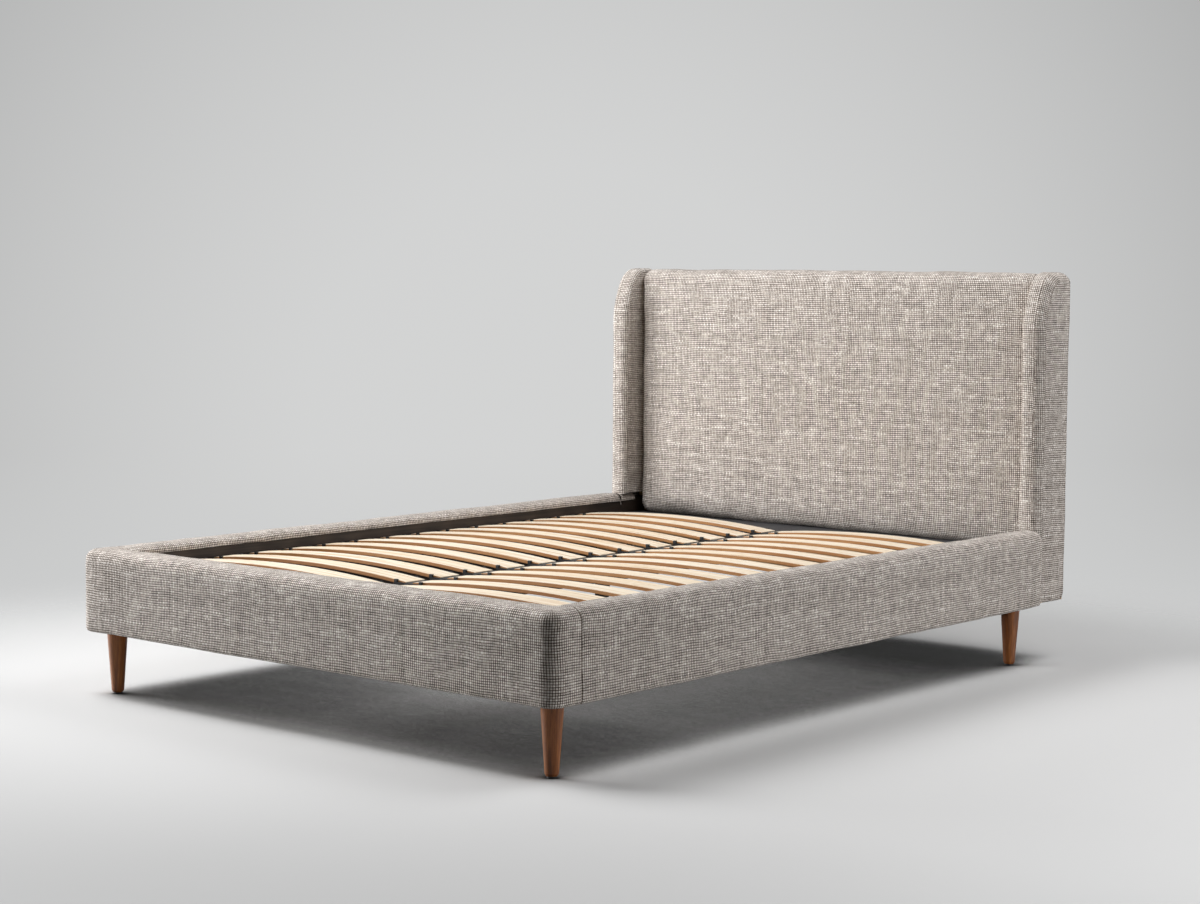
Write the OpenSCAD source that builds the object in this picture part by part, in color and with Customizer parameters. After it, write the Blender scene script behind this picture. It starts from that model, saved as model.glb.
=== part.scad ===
// Double bed with an upholstered winged headboard and a sprung slat base.
// X runs across the bed, Y from the foot to the head, and Z up from the floor.
// The origin is on the floor, under the middle of the bed.

/* [Mattress] */
// Width of the mattress that the bed takes
mattress_w = 1400; // [1200:10:1600]
// Length of the mattress that the bed takes
mattress_l = 2000; // [1900:10:2100]
// Gap on each side of the mattress
side_gap = 8; // [4:1:20]
// Gap at the foot of the mattress
end_gap = 10; // [4:1:30]

/* [Rails] */
// Height of the rails' lower edge above the floor
rail_base_z = 160; // [130:5:200]
// Height of an upholstered rail
rail_h = 206; // [196:2:230]
// Thickness of a side rail with its padding
side_t = 78; // [74:1:84]
// Thickness of the foot rail with its padding
foot_t = 92; // [88:1:104]
// Padding on the outer face of a side rail
side_pad = 28; // [24:1:30]
// Padding on the front face of the foot rail
foot_pad = 34; // [28:1:38]
// Padding on top of the rail boards
top_pad = 14; // [10:1:16]
// Thickness of the fabric lap on the inner face of a rail
lap_t = 6; // [4:1:8]
// Drop of the fabric lap below the top of the rail
lap_drop = 21; // [18:1:40]
// Radius of a rail's outer top edge
rail_top_r = 28; // [20:1:32]
// Radius of a rail's inner top edge
rail_inner_r = 20; // [12:1:20]
// Radius of a rail's outer bottom edge
rail_low_r = 10; // [6:1:14]
// Radius of the foot rail's upright corners
corner_r = 38; // [34:1:50]
// Thickness of the fabric turned under a rail
wrap_t = 4; // [3:1:6]
// Width of the fabric turned under a rail
wrap_w = 6; // [4:1:8]
// Open line where two upholstered pieces meet
seam_gap = 0.5; // [0.4:0.1:1]
// Thickness of a side rail board where it runs inside the wing
tongue_t = 26; // [24:1:28]

/* [Headboard] */
// Height of the headboard panel above the floor
panel_top_z = 1068; // [1000:2:1200]
// Thickness of the whole headboard
head_t = 88; // [86:1:110]
// Thickness of the padded panel
panel_pad = 55; // [52:1:55]
// Radius of the panel's rolled edge
panel_edge_r = 30; // [20:1:36]
// Swell of the panel's front face
panel_crown = 6; // [3:1:10]
// Thickness of the back cover
back_t = 3; // [2:0.5:4]
// Thickness of the headboard's plywood board
head_board_t = 18; // [15:1:20]
// Width of the battens behind the board
batten_w = 90; // [84:2:120]

/* [Wings] */
// Step in from a side rail's outer face to a wing's
wing_inset = 20; // [19:1:21]
// Depth of a wing from front to back
wing_d = 152; // [140:2:190]
// Height of the wings above the panel
wing_rise = 4; // [0:1:10]
// Depth of the wing's curved shoulder
shoulder_d = 96; // [86:2:110]
// Height of the wing's curved shoulder
shoulder_h = 160; // [130:5:200]
// Radius of the shoulder's tighter top bend
shoulder_r = 70; // [56:2:76]
// Radius of a wing's rear corners
wing_rear_r = 26; // [24:1:34]
// Radius of a wing's padded edges
wing_edge_r = 16; // [10:1:18]
// Padding on the outer face of a wing
wing_pad = 6; // [5:1:7]
// Padding on the front and top of a wing board
wing_front_pad = 18; // [14:1:24]
// Thickness of a wing's board
wing_board_t = 16; // [15:1:16]

/* [Slats] */
// Number of slats in each of the two banks
slat_count = 15; // [13:1:15]
// Width of a slat
slat_w = 66; // [50:1:72]
// Thickness of a slat
slat_t = 8; // [6:0.5:10]
// Rise of a slat's middle above its ends
slat_bow = 18; // [10:1:26]
// Height of a slat's ends above the rails that carry them
slat_end_h = 28; // [26:1:34]
// Gap between the ends of facing slats
slat_split = 24; // [20:1:30]
// Clear space between the foot rail and the first slat
first_space = 38; // [30:1:60]
// Clear space between the last slat and the head board
last_space = 16; // [10:1:30]
// Play around a slat in its holder
slat_play = 0.3; // [0.2:0.1:0.5]
// Length of a holder's cradle along the slat
cradle_l = 34; // [28:1:40]
// Wall of a holder
holder_wall = 4; // [3:0.5:5]
// Diameter of the peg under a holder
peg_d = 10; // [8:1:12]
// Length of the peg under a holder
peg_l = 12; // [8:1:16]

/* [Support] */
// Depth of the rails' lower side of the slat base below the rail tops
base_drop = 76; // [70:1:84]
// Width of a side ledger
ledger_w = 25; // [22:1:30]
// Height of a side ledger
ledger_h = 44; // [40:1:48]
// Width and height of the centre rail's tube
centre_w = 40; // [36:2:50]
// Wall of the centre rail's tube
centre_wall = 2; // [1.5:0.5:3]
// Thickness of the board at the head of the slat base
cross_t = 16; // [12:1:20]
// Width of that board in front of the headboard
cross_w = 197; // [160:1:230]

/* [Legs] */
// Diameter of a leg at the top
leg_top_d = 52; // [44:1:56]
// Diameter of a leg at the foot
leg_foot_d = 31; // [26:1:36]
// Distance of a leg's axis from the bed's side
leg_side = 62; // [58:1:62]
// Distance of a front leg's axis from the foot end
leg_front = 68; // [60:1:72]
// Distance of a back leg's axis from the head end
leg_back = 222; // [200:2:300]
// Diameter of a leg's glide
glide_d = 22; // [16:1:24]
// Height of a leg's glide
glide_h = 4; // [3:1:6]
// Diameter of the bolts
bolt_d = 8; // [6:1:9]
// Length of a leg's bolt
leg_bolt_l = 80; // [60:2:100]
// Clearance around a bolt or a peg
bolt_play = 0.2; // [0.1:0.05:0.3]

/* [Levelling foot] */
// Diameter of the support leg's tube
tube_d = 38; // [32:1:44]
// Wall of the support leg's tube
tube_wall = 2; // [1.5:0.5:3]
// Diameter of the levelling foot's stem
stem_d = 10; // [8:1:12]
// Diameter of the levelling foot's pad
pad_d = 48; // [40:1:60]
// Upward travel of the levelling foot
foot_travel = 12; // [8:1:16]
// Clearance between the stem and its nut
stem_play = 0.1; // [0.05:0.05:0.2]

/* [Brackets] */
// Length of each flange of a corner bracket
bracket_l = 60; // [56:1:60]
// Height of a corner bracket
bracket_h = 60; // [50:2:64]
// Thickness of the brackets and flanges
bracket_t = 4; // [3:0.5:5]
// Depth of a bracket's bolts in the timber
bolt_bite = 22; // [16:1:23]

/* [Hidden] */
fabric = [0.62, 0.58, 0.55];
dark_timber = [0.12, 0.09, 0.07];
walnut = [0.42, 0.23, 0.12];
birch = [0.90, 0.77, 0.58];
plywood = [0.76, 0.62, 0.44];
black_plastic = [0.09, 0.09, 0.09];
black_steel = [0.14, 0.14, 0.15];
zinc = [0.66, 0.67, 0.68];
dark_board = [0.19, 0.19, 0.20];

// The main planes of the bed
side_x = mattress_w / 2 + side_gap + side_t;
foot_y = -(foot_t + end_gap + mattress_l + head_t) / 2;
head_y = -foot_y;
rail_top_z = rail_base_z + rail_h;
board_base_z = rail_base_z + wrap_t;
board_top_z = rail_top_z - top_pad;
lap_z = rail_top_z - lap_drop;
panel_y = head_y - head_t;
board_y = panel_y + panel_pad;
batten_y = board_y + head_board_t;
back_y = head_y - back_t;
wing_y = head_y - wing_d;
wing_top_z = panel_top_z + wing_rise;
head_board_top_z = panel_top_z - top_pad;

// The shoulder's gentler lower bend, which meets the top one in a common tangent
shoulder_z = wing_top_z - shoulder_h;
shoulder_big_r = (pow(shoulder_d, 2) + pow(shoulder_h, 2) - 2 * shoulder_h * shoulder_r)
    / (2 * (shoulder_d - shoulder_r));
shoulder_turn = asin((shoulder_h - shoulder_r) / (shoulder_big_r - shoulder_r));

// Distances in from a side rail's outer face
board_in = side_t - lap_t;
tongue_out = board_in - tongue_t;
wing_in = side_t + side_gap;
wing_t = wing_in - wing_inset;
wing_board_out = wing_inset + wing_pad;
wing_board_in = wing_board_out + wing_board_t;
wing_low_in = tongue_out - seam_gap;
cover_in = side_t;

wing_overlap = 4;
wing_core = wing_edge_r + wing_overlap;
wing_band = wing_core + wing_overlap;

// The foot rail's timber, as distances from the foot end
frame_back = foot_t - lap_t;

// The slat base
base_z = rail_top_z - base_drop;
ledger_x = side_x - board_in;
slat_tip_x = slat_split / 2;
slat_end_x = ledger_x - slat_play - holder_wall - slat_play;
slat_l = slat_end_x - slat_tip_x;
slat_r = (pow(slat_l / 2, 2) + pow(slat_bow, 2)) / (2 * slat_bow);
slat_half_angle = asin(slat_l / 2 / slat_r);
slat_end_z = base_z + slat_end_h;
first_y = foot_y + foot_t + first_space + slat_w / 2;
last_y = panel_y - cross_w - last_space - slat_w / 2;
slat_pitch = (last_y - first_y) / (slat_count - 1);
block_w = 45;
block_l = 90;
cradle_cheek = 5;
cradle_drop = 2;
hook_l = 9;
hook_rise = 4.6;
hook_lap = 2;
holder_foot_w = 52;

// Brackets and bolts
bracket_top_z = base_z - ledger_h - 8;
bracket_z = bracket_top_z - bracket_h;
bolt_head_d = bolt_d * 1.85;
bolt_head_h = bolt_d * 0.66;
flange_drop = 10;
flange_reach = 25;
flange_h = centre_w + flange_drop;
flange_w = centre_w + 2 * flange_reach;

// The levelling foot and its tube
foot_room = 16;
tube_base_z = foot_travel + foot_room;
nut_h = 20;
tube_plate = 3;
tube_plate_w = 70;
pad_h = 6;
hex_h = 8;
stem_spare = 30;
stem_top_z = tube_base_z + nut_h + stem_spare;

arc_steps = 7;
$fn = 48;

function two_digits(i) = str(i < 10 ? "0" : "", i);

// Points of an elliptical arc from angle a0 to a1
function arc(cx, cy, rx, ry, a0, a1) =
    [for (i = [0 : arc_steps]) let (a = a0 + (a1 - a0) * i / arc_steps) [cx + rx * cos(a), cy + ry * sin(a)]];

// Outline of a padded rail, from its outer face at 0 to its inner face at t
function rail_outline(t) = concat(
    [[t, rail_base_z]],
    arc(rail_low_r, rail_base_z + rail_low_r, rail_low_r, rail_low_r, 270, 180),
    arc(rail_top_r, rail_top_z - rail_top_r, rail_top_r, rail_top_r, 180, 90),
    arc(t - rail_inner_r, rail_top_z - rail_inner_r, rail_inner_r, rail_inner_r, 90, 0)
);

// Side view of a wing's front and shoulder, set in by d: up the front, round two bends and on to the top
function wing_front(d) = concat(
    arc(wing_y + shoulder_big_r, shoulder_z,
        shoulder_big_r - d, shoulder_big_r - d, 180, 180 - shoulder_turn),
    arc(wing_y + shoulder_d, wing_top_z - shoulder_r,
        shoulder_r - d, shoulder_r - d, 180 - shoulder_turn, 90)
);

// Side view of a wing's board, down to z and back to y
function wing_board_outline(y, z) =
    concat([[wing_y + wing_front_pad, z]], wing_front(wing_front_pad), [[y, head_board_top_z], [y, z]]);

// Section through a wing's padded edge with an outer radius of r and a depth of d
function wing_section(r, d) = concat(
    [[r - d, 0]],
    arc(r - wing_edge_r, wing_edge_r, wing_edge_r, wing_edge_r, 270, 360),
    arc(r - wing_edge_r, wing_t - wing_edge_r, wing_edge_r, wing_edge_r, 0, 90),
    [[r - d, wing_t]]
);

// Front view of the panel, set in by d all round
function panel_outline(d) =
    let (
        half = side_x - wing_in - seam_gap - d,
        low = base_z + cross_t + slat_play + d,
        top = panel_top_z - d,
        r = max(panel_edge_r + 4 - d, 2)
    )
    concat(
        arc(half - r, low + r, r, r, -90, 0),
        arc(half - r, top - r, r, r, 0, 90),
        arc(-half + r, top - r, r, r, 90, 180),
        arc(-half + r, low + r, r, r, 180, 270)
    );

// A closed form through a list of rings with equal numbers of points
module loft(rings) {
    n = len(rings[0]);
    last = (len(rings) - 1) * n;
    sides = [for (k = [0 : len(rings) - 2], i = [0 : n - 1], half = [0, 1])
        let (a = k * n + i, b = k * n + (i + 1) % n)
        half == 0 ? [a, b, b + n] : [a, b + n, a + n]];
    polyhedron(
        points = [for (r = rings) each r],
        faces = concat([[for (i = [0 : n - 1]) n - 1 - i]], sides, [[for (i = [0 : n - 1]) last + i]]),
        convexity = 4
    );
}

// Draws the right-hand piece, or its mirror image for the left
module on_side(side) {
    if (side == "left") mirror([1, 0, 0]) children();
    else children();
}

// A box between two corners
module block(low, high) {
    translate(low) cube(high - low);
}

// A box on the right-hand side, with x given as distances in from the rail's outer face
module side_block(outer, inner, y0, y1, z0, z1) {
    block([side_x - inner, y0, z0], [side_x - outer, y1, z1]);
}

// A flat shape in X and Z, run along Y
module along_y(y0, y1) {
    translate([0, y1, 0]) rotate([90, 0, 0]) linear_extrude(y1 - y0) children();
}

// A flat shape in Y and Z, run along X
module along_x(x0, x1) {
    translate([x0, 0, 0]) rotate([90, 0, 90]) linear_extrude(x1 - x0) children();
}

// A round bar along X or Y that starts at a point
module bar_x(p, l, d) {
    translate(p) rotate([0, 90, 0]) cylinder(d = d, h = l);
}
module bar_y(p, l, d) {
    translate(p) rotate([-90, 0, 0]) cylinder(d = d, h = l);
}

// A side rail's section, seated against the right-hand side plane
module side_section() {
    translate([side_x, 0]) mirror([1, 0]) polygon(rail_outline(side_t));
}

// Headboard
module headboard_board() {
    color(plywood) difference() {
        union() {
            block([-(side_x - wing_board_in), board_y, board_base_z],
                [side_x - wing_board_in, batten_y, head_board_top_z]);
            for (side = ["left", "right"]) on_side(side)
                side_block(wing_board_in, wing_board_in + batten_w, batten_y, back_y,
                    board_base_z, head_board_top_z);
            for (z = [board_base_z, base_z, head_board_top_z - batten_w])
                block([-(side_x - wing_board_in), batten_y, z],
                    [side_x - wing_board_in, back_y, z + batten_w]);
            block([-batten_w / 2, batten_y, board_base_z], [batten_w / 2, back_y, head_board_top_z]);
        }
        head_bolt_holes();
    }
}

module headboard_pad() {
    back_r = 10;
    half = side_x - wing_in - seam_gap;
    back_roll = [for (i = [3 : -1 : 0]) let (a = 90 * i / 3)
        [back_r * (1 - cos(a)), head_y - back_r * (1 - sin(a))]];
    roll = [for (i = [0 : 4]) let (a = 90 * i / 4)
        [panel_edge_r * (1 - cos(a)), panel_y + panel_crown + panel_edge_r * (1 - sin(a))]];
    face = [for (i = [1 : 3]) [panel_edge_r + i * i * 34, panel_y + panel_crown * (1 - i / 3)]];
    color(fabric) difference() {
        loft([for (p = concat(back_roll, roll, face)) [for (q = panel_outline(p[0])) [q[0], p[1], q[1]]]]);
        block([-half - 1, board_y, base_z], [half + 1, head_y + 1, head_board_top_z]);
    }
}

module headboard_back_cover() {
    color(fabric) block([-(side_x - wing_board_out), back_y, board_base_z + wrap_w],
        [side_x - wing_board_out, head_y, head_board_top_z]);
}

module wing_board(side) {
    color(plywood) on_side(side) along_x(side_x - wing_board_in, side_x - wing_board_out)
        polygon(wing_board_outline(back_y, board_base_z));
}

// Stretches of a wing's padded edge: round a bend, and straight on from a point square to angle a
module wing_turn(c, r, d, a0, a1) {
    translate(c) rotate([0, 0, a0]) rotate_extrude(angle = a1 - a0, $fn = 96) polygon(wing_section(r, d));
}
module wing_run(c, a, l) {
    translate(c) rotate([0, 0, a]) rotate([90, 0, 0]) linear_extrude(l) polygon(wing_section(0, wing_band));
}

module wing_cover(side) {
    rear = head_y - wing_rear_r;
    low = rail_base_z + wing_rear_r;
    top = wing_top_z - wing_rear_r;
    core_r = wing_rear_r - wing_core;
    color(fabric) on_side(side) difference() {
        translate([side_x - wing_in, 0, 0]) rotate([90, 0, 90]) union() {
            linear_extrude(wing_t) polygon(concat(
                [[wing_y + wing_core, rail_base_z + wing_core]],
                wing_front(wing_core),
                arc(rear, top, core_r, core_r, 90, 0),
                arc(rear, low, core_r, core_r, 0, -90)
            ));
            wing_run([wing_y, rail_base_z], 180, shoulder_z - rail_base_z);
            wing_turn([wing_y + shoulder_big_r, shoulder_z], shoulder_big_r, wing_band,
                180 - shoulder_turn, 180);
            wing_turn([wing_y + shoulder_d, wing_top_z - shoulder_r], shoulder_r, wing_band,
                90, 180 - shoulder_turn);
            wing_run([wing_y + shoulder_d, wing_top_z], 90, rear - wing_y - shoulder_d);
            wing_turn([rear, top], wing_rear_r, wing_rear_r, 0, 90);
            wing_run([head_y, top], 0, top - low);
            wing_turn([rear, low], wing_rear_r, wing_rear_r, -90, 0);
            wing_run([rear, rail_base_z], -90, rear - wing_y);
        }
        along_x(side_x - wing_board_in, side_x - wing_board_out)
            polygon(wing_board_outline(head_y + 1, rail_base_z - 1));
        side_block(wing_board_in - 1, wing_in + 1, board_y, head_y + 1, rail_base_z - 1, head_board_top_z);
        side_block(wing_low_in, wing_in + 1, wing_y - 1, board_y + 1, rail_base_z - 1, rail_top_z + seam_gap);
    }
}

// Rails
module side_rail_board(side) {
    color(dark_timber) on_side(side) difference() {
        union() {
            side_block(side_pad, tongue_out + 1, foot_y + frame_back, wing_y - 2 * seam_gap,
                board_base_z, board_top_z);
            side_block(tongue_out, board_in, foot_y + frame_back, board_y, board_base_z, board_top_z);
        }
        leg_bolt_holes();
        side_bolt_holes();
    }
}

module side_rail_cover(side) {
    front = foot_y + foot_t + seam_gap;
    rear = wing_y - seam_gap;
    color(fabric) on_side(side) difference() {
        union() {
            along_y(front, rear) side_section();
            along_y(rear - 1, panel_y - seam_gap) intersection() {
                side_section();
                translate([side_x - cover_in, lap_z]) square([cover_in - tongue_out, lap_drop]);
            }
        }
        side_block(side_pad, board_in, front - 1, panel_y, board_base_z, board_top_z);
        side_block(board_in - 1, side_t + 1, front - 1, panel_y, rail_base_z - 1, lap_z);
        side_block(side_pad + wrap_w, side_t + 1, front - 1, rear + 1, rail_base_z - 1, board_base_z + 1);
    }
}

module foot_rail_frame() {
    half = side_x - side_pad;
    color(plywood) difference() {
        block([-half, foot_y + foot_pad, board_base_z], [half, foot_y + frame_back, board_top_z]);
        for (side = ["left", "right"]) on_side(side) {
            leg_bolt_holes();
            foot_bolt_holes();
        }
        centre_bolt_holes();
    }
}

module foot_rail_cover() {
    corner = concat(
        [[0, rail_base_z]],
        [for (p = arc(rail_low_r, rail_base_z + rail_low_r, rail_low_r, rail_low_r, 270, 180))
            [corner_r - p[0], p[1]]],
        [for (p = arc(rail_top_r, rail_top_z - rail_top_r, rail_top_r, rail_top_r, 180, 90))
            [corner_r - p[0], p[1]]],
        [[0, rail_top_z]]
    );
    half = side_x - side_pad;
    color(fabric) difference() {
        union() {
            along_x(-(side_x - corner_r), side_x - corner_r) translate([foot_y, 0])
                polygon(rail_outline(foot_t));
            for (side = ["left", "right"]) on_side(side) {
                translate([side_x - corner_r, foot_y + corner_r, 0]) rotate([0, 0, -90])
                    rotate_extrude(angle = 90, $fn = 64) polygon(corner);
                along_y(foot_y + corner_r, foot_y + foot_t) side_section();
            }
        }
        block([-half, foot_y + foot_pad, board_base_z], [half, foot_y + frame_back, board_top_z]);
        block([-half, foot_y + frame_back - 1, rail_base_z - 1], [half, foot_y + foot_t + 1, lap_z]);
        for (side = ["left", "right"]) on_side(side)
            side_block(side_pad, board_in, foot_y + frame_back - 1, foot_y + foot_t + 1,
                lap_z - 1, board_top_z);
        block([-half + wrap_w, foot_y + foot_pad + wrap_w, rail_base_z - 1],
            [half - wrap_w, foot_y + foot_t + 1, board_base_z + 1]);
    }
}

module head_cross_board() {
    color(dark_board) block([-(ledger_x - slat_play), panel_y - cross_w, base_z],
        [ledger_x - slat_play, board_y, base_z + cross_t]);
}

// Slat base
module ledger(side) {
    color(dark_timber) on_side(side) difference() {
        block([ledger_x - ledger_w, foot_y + frame_back, base_z - ledger_h], [ledger_x, board_y, base_z]);
        for (i = [0 : slat_count - 1])
            translate([slat_end_x - peg_d / 2, slat_y(i), base_z - peg_l - 1])
                cylinder(d = peg_d + 2 * bolt_play, h = peg_l + 2);
    }
}

module centre_rail() {
    ends = [[foot_y + frame_back, 1], [board_y, -1]];
    color(black_steel) difference() {
        union() {
            block([-centre_w / 2, foot_y + frame_back, base_z - centre_w], [centre_w / 2, board_y, base_z]);
            for (e = ends)
                block([-flange_w / 2, min(e[0], e[0] + e[1] * bracket_t), base_z - flange_h],
                    [flange_w / 2, max(e[0], e[0] + e[1] * bracket_t), base_z]);
        }
        block([-centre_w / 2 + centre_wall, foot_y + frame_back - 1, base_z - centre_w + centre_wall],
            [centre_w / 2 - centre_wall, board_y + 1, base_z - centre_wall]);
        for (i = [0 : slat_count - 1])
            translate([0, slat_y(i), base_z - centre_wall - 1])
                cylinder(d = peg_d + 2 * bolt_play, h = centre_wall + 2);
        centre_bolt_holes();
    }
}

function slat_y(i) = first_y + i * slat_pitch;

// A bowed slat of the right-hand bank, with some play added on every face
module slat_form(play) {
    angle = slat_half_angle + play * 180 / PI / slat_r;
    translate([(slat_tip_x + slat_end_x) / 2, 0, slat_end_z + slat_bow - slat_r]) rotate([90, 0, 0])
        rotate([0, 0, 90 - angle]) rotate_extrude(angle = 2 * angle, $fn = 720)
            translate([slat_r - slat_t - play, -slat_w / 2 - play])
                square([slat_t + 2 * play, slat_w + 2 * play]);
}

module slat(side, i) {
    color(birch) on_side(side) translate([0, slat_y(i), 0]) slat_form(0);
}

// A cradle for one end of a slat. It starts at x and runs towards the slat's middle, in direction dir.
module cradle(x, dir) {
    half_w = slat_w / 2 + slat_play + cradle_cheek;
    deck_z = slat_end_z - slat_t - slat_play - holder_wall;
    translate([x, 0, 0]) mirror([dir < 0 ? 1 : 0, 0, 0]) {
        block([-holder_wall - slat_play, -half_w, deck_z], [cradle_l, half_w, slat_end_z - cradle_drop]);
        for (s = [-1, 1]) mirror([0, s < 0 ? 1 : 0, 0])
            block([cradle_l - hook_l, slat_w / 2 - hook_lap, deck_z],
                [cradle_l, half_w, slat_end_z + hook_rise]);
    }
}

module outer_slat_holders() {
    deck_z = slat_end_z - slat_t - slat_play - holder_wall;
    color(black_plastic) for (side = ["left", "right"], i = [0 : slat_count - 1]) on_side(side)
        translate([0, slat_y(i), 0]) difference() {
            union() {
                cradle(slat_end_x, -1);
                block([ledger_x - ledger_w, -holder_foot_w / 2, base_z],
                    [ledger_x - slat_play, holder_foot_w / 2, deck_z + 1]);
                translate([slat_end_x - peg_d / 2, 0, base_z - peg_l]) cylinder(d = peg_d, h = peg_l + 1);
            }
            slat_form(slat_play);
        }
}

module centre_slat_holders() {
    half_w = slat_w / 2 + slat_play + cradle_cheek;
    deck_z = slat_end_z - slat_t - slat_play - holder_wall;
    color(black_plastic) for (i = [0 : slat_count - 1]) translate([0, slat_y(i), 0]) difference() {
        union() {
            cradle(slat_tip_x, 1);
            cradle(-slat_tip_x, -1);
            block([-slat_tip_x, -half_w, deck_z], [slat_tip_x, half_w, slat_end_z - cradle_drop]);
            block([-centre_w / 2, -holder_foot_w / 2, base_z], [centre_w / 2, holder_foot_w / 2, deck_z + 1]);
            translate([0, 0, base_z - peg_l]) cylinder(d = peg_d, h = peg_l + 1);
        }
        slat_form(slat_play);
        mirror([1, 0, 0]) slat_form(slat_play);
    }
}

// Legs
leg_places = [[side_x - leg_side, foot_y + leg_front], [side_x - leg_side, head_y - leg_back]];

// Holes in the boards and legs on the right-hand side for the legs' bolts
module leg_bolt_holes() {
    for (p = leg_places) translate([p[0], p[1], board_base_z - leg_bolt_l / 2])
        cylinder(d = bolt_d + 2 * bolt_play, h = leg_bolt_l + bolt_play);
}

module leg(side, place) {
    taper_z = glide_h + 5;
    color(walnut) on_side(side) difference() {
        translate([leg_places[place][0], leg_places[place][1], 0]) rotate_extrude($fn = 64) polygon([
            [0, glide_h],
            [leg_foot_d / 2 - 3, glide_h],
            [leg_foot_d / 2, taper_z],
            [leg_top_d / 2, rail_base_z],
            [leg_top_d / 2, board_base_z],
            [0, board_base_z]
        ]);
        leg_bolt_holes();
    }
}

module leg_glides() {
    color(black_plastic) for (side = ["left", "right"], p = leg_places) on_side(side)
        translate([p[0], p[1], 0]) cylinder(d = glide_d, h = glide_h);
}

module leg_bolts() {
    color(zinc) for (side = ["left", "right"], p = leg_places) on_side(side)
        translate([p[0], p[1], board_base_z - leg_bolt_l / 2 + bolt_play])
            cylinder(d = bolt_d, h = leg_bolt_l - bolt_play);
}

module leg_blocks() {
    y = leg_places[1][1];
    color(plywood) for (side = ["left", "right"]) on_side(side)
        side_block(board_in, board_in + block_w, y - block_l / 2, y + block_l / 2,
            board_base_z, base_z - ledger_h);
}

// Support leg under the middle of the centre rail
module support_leg() {
    top_z = base_z - centre_w;
    color(black_steel) difference() {
        union() {
            translate([0, 0, tube_base_z]) cylinder(d = tube_d, h = top_z - tube_base_z);
            block([-tube_plate_w / 2, -tube_plate_w / 2, top_z - tube_plate],
                [tube_plate_w / 2, tube_plate_w / 2, top_z]);
        }
        translate([0, 0, tube_base_z + nut_h])
            cylinder(d = tube_d - 2 * tube_wall, h = top_z - tube_plate - tube_base_z - nut_h);
        translate([0, 0, tube_base_z - 1]) cylinder(d = stem_d + 2 * stem_play, h = nut_h + 2);
    }
}

module levelling_foot() {
    color(black_plastic) union() {
        rotate_extrude($fn = 64) polygon([
            [0, 0],
            [pad_d / 2 - 1, 0],
            [pad_d / 2, 1],
            [pad_d / 2, pad_h - 3],
            [pad_d / 2 - 5, pad_h],
            [0, pad_h]
        ]);
        cylinder(d = 2 * stem_d, h = pad_h + hex_h, $fn = 6);
        cylinder(d = stem_d, h = stem_top_z);
    }
}

// Corner brackets and the bolts that hold the frame together
bracket_bolt_in = [20, 46];

module corner_bracket_at_foot() {
    y = foot_y + frame_back;
    side_block(board_in, board_in + bracket_t, y, y + bracket_l, bracket_z, bracket_top_z);
    side_block(board_in, board_in + bracket_l, y, y + bracket_t, bracket_z, bracket_top_z);
}

module corner_bracket_at_head() {
    side_block(board_in, board_in + bracket_t, board_y - bracket_l, board_y, bracket_z, bracket_top_z);
    side_block(board_in, board_in + bracket_l, board_y - bracket_t, board_y, bracket_z, bracket_top_z);
}

module corner_brackets() {
    color(zinc) for (side = ["left", "right"]) on_side(side) {
        difference() {
            corner_bracket_at_foot();
            side_bolt_holes();
            foot_bolt_holes();
        }
        difference() {
            corner_bracket_at_head();
            side_bolt_holes();
            head_side_holes();
        }
    }
}

// Where the bolts sit: in the side boards, in the foot rail and in the headboard
bolt_zs = [bracket_z + 14, bracket_top_z - 14];
side_bolt_ys = [foot_y + frame_back + bracket_bolt_in[1], board_y - bracket_bolt_in[1]];
end_bolt_x = ledger_x - bracket_bolt_in[1];
centre_bolt_x = flange_w / 2 - 12;
centre_bolt_z = base_z - flange_h / 2;
hole_d = bolt_d + 2 * bolt_play;

module side_bolt_holes() {
    for (y = side_bolt_ys, z = bolt_zs)
        bar_x([ledger_x - bracket_t - 1, y, z], bracket_t + bolt_bite + 1 + bolt_play, hole_d);
}

module foot_bolt_holes() {
    for (z = bolt_zs)
        bar_y([end_bolt_x, foot_y + frame_back - bolt_bite - bolt_play, z],
            bolt_bite + bracket_t + 2, hole_d);
}

module head_side_holes() {
    for (z = bolt_zs)
        bar_y([end_bolt_x, board_y - bracket_t - 1, z], bolt_bite + bracket_t + 1 + bolt_play, hole_d);
}

module head_bolt_holes() {
    for (side = ["left", "right"]) on_side(side) head_side_holes();
    centre_bolt_holes();
}

module centre_bolt_holes() {
    for (s = [-1, 1]) {
        bar_y([s * centre_bolt_x, foot_y + frame_back - bolt_bite - bolt_play, centre_bolt_z],
            bolt_bite + bracket_t + 2, hole_d);
        bar_y([s * centre_bolt_x, board_y - bracket_t - 1, centre_bolt_z],
            bolt_bite + bracket_t + 1 + bolt_play, hole_d);
    }
}

// A bolt along +Y from the outer face of what it clamps, head behind the point
module bolt_y(p, dir) {
    translate(p) rotate([-90 * dir, 0, 0]) {
        translate([0, 0, -bolt_head_h]) cylinder(d = bolt_head_d, h = bolt_head_h, $fn = 6);
        cylinder(d = bolt_d, h = bracket_t + bolt_bite);
    }
}

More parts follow.
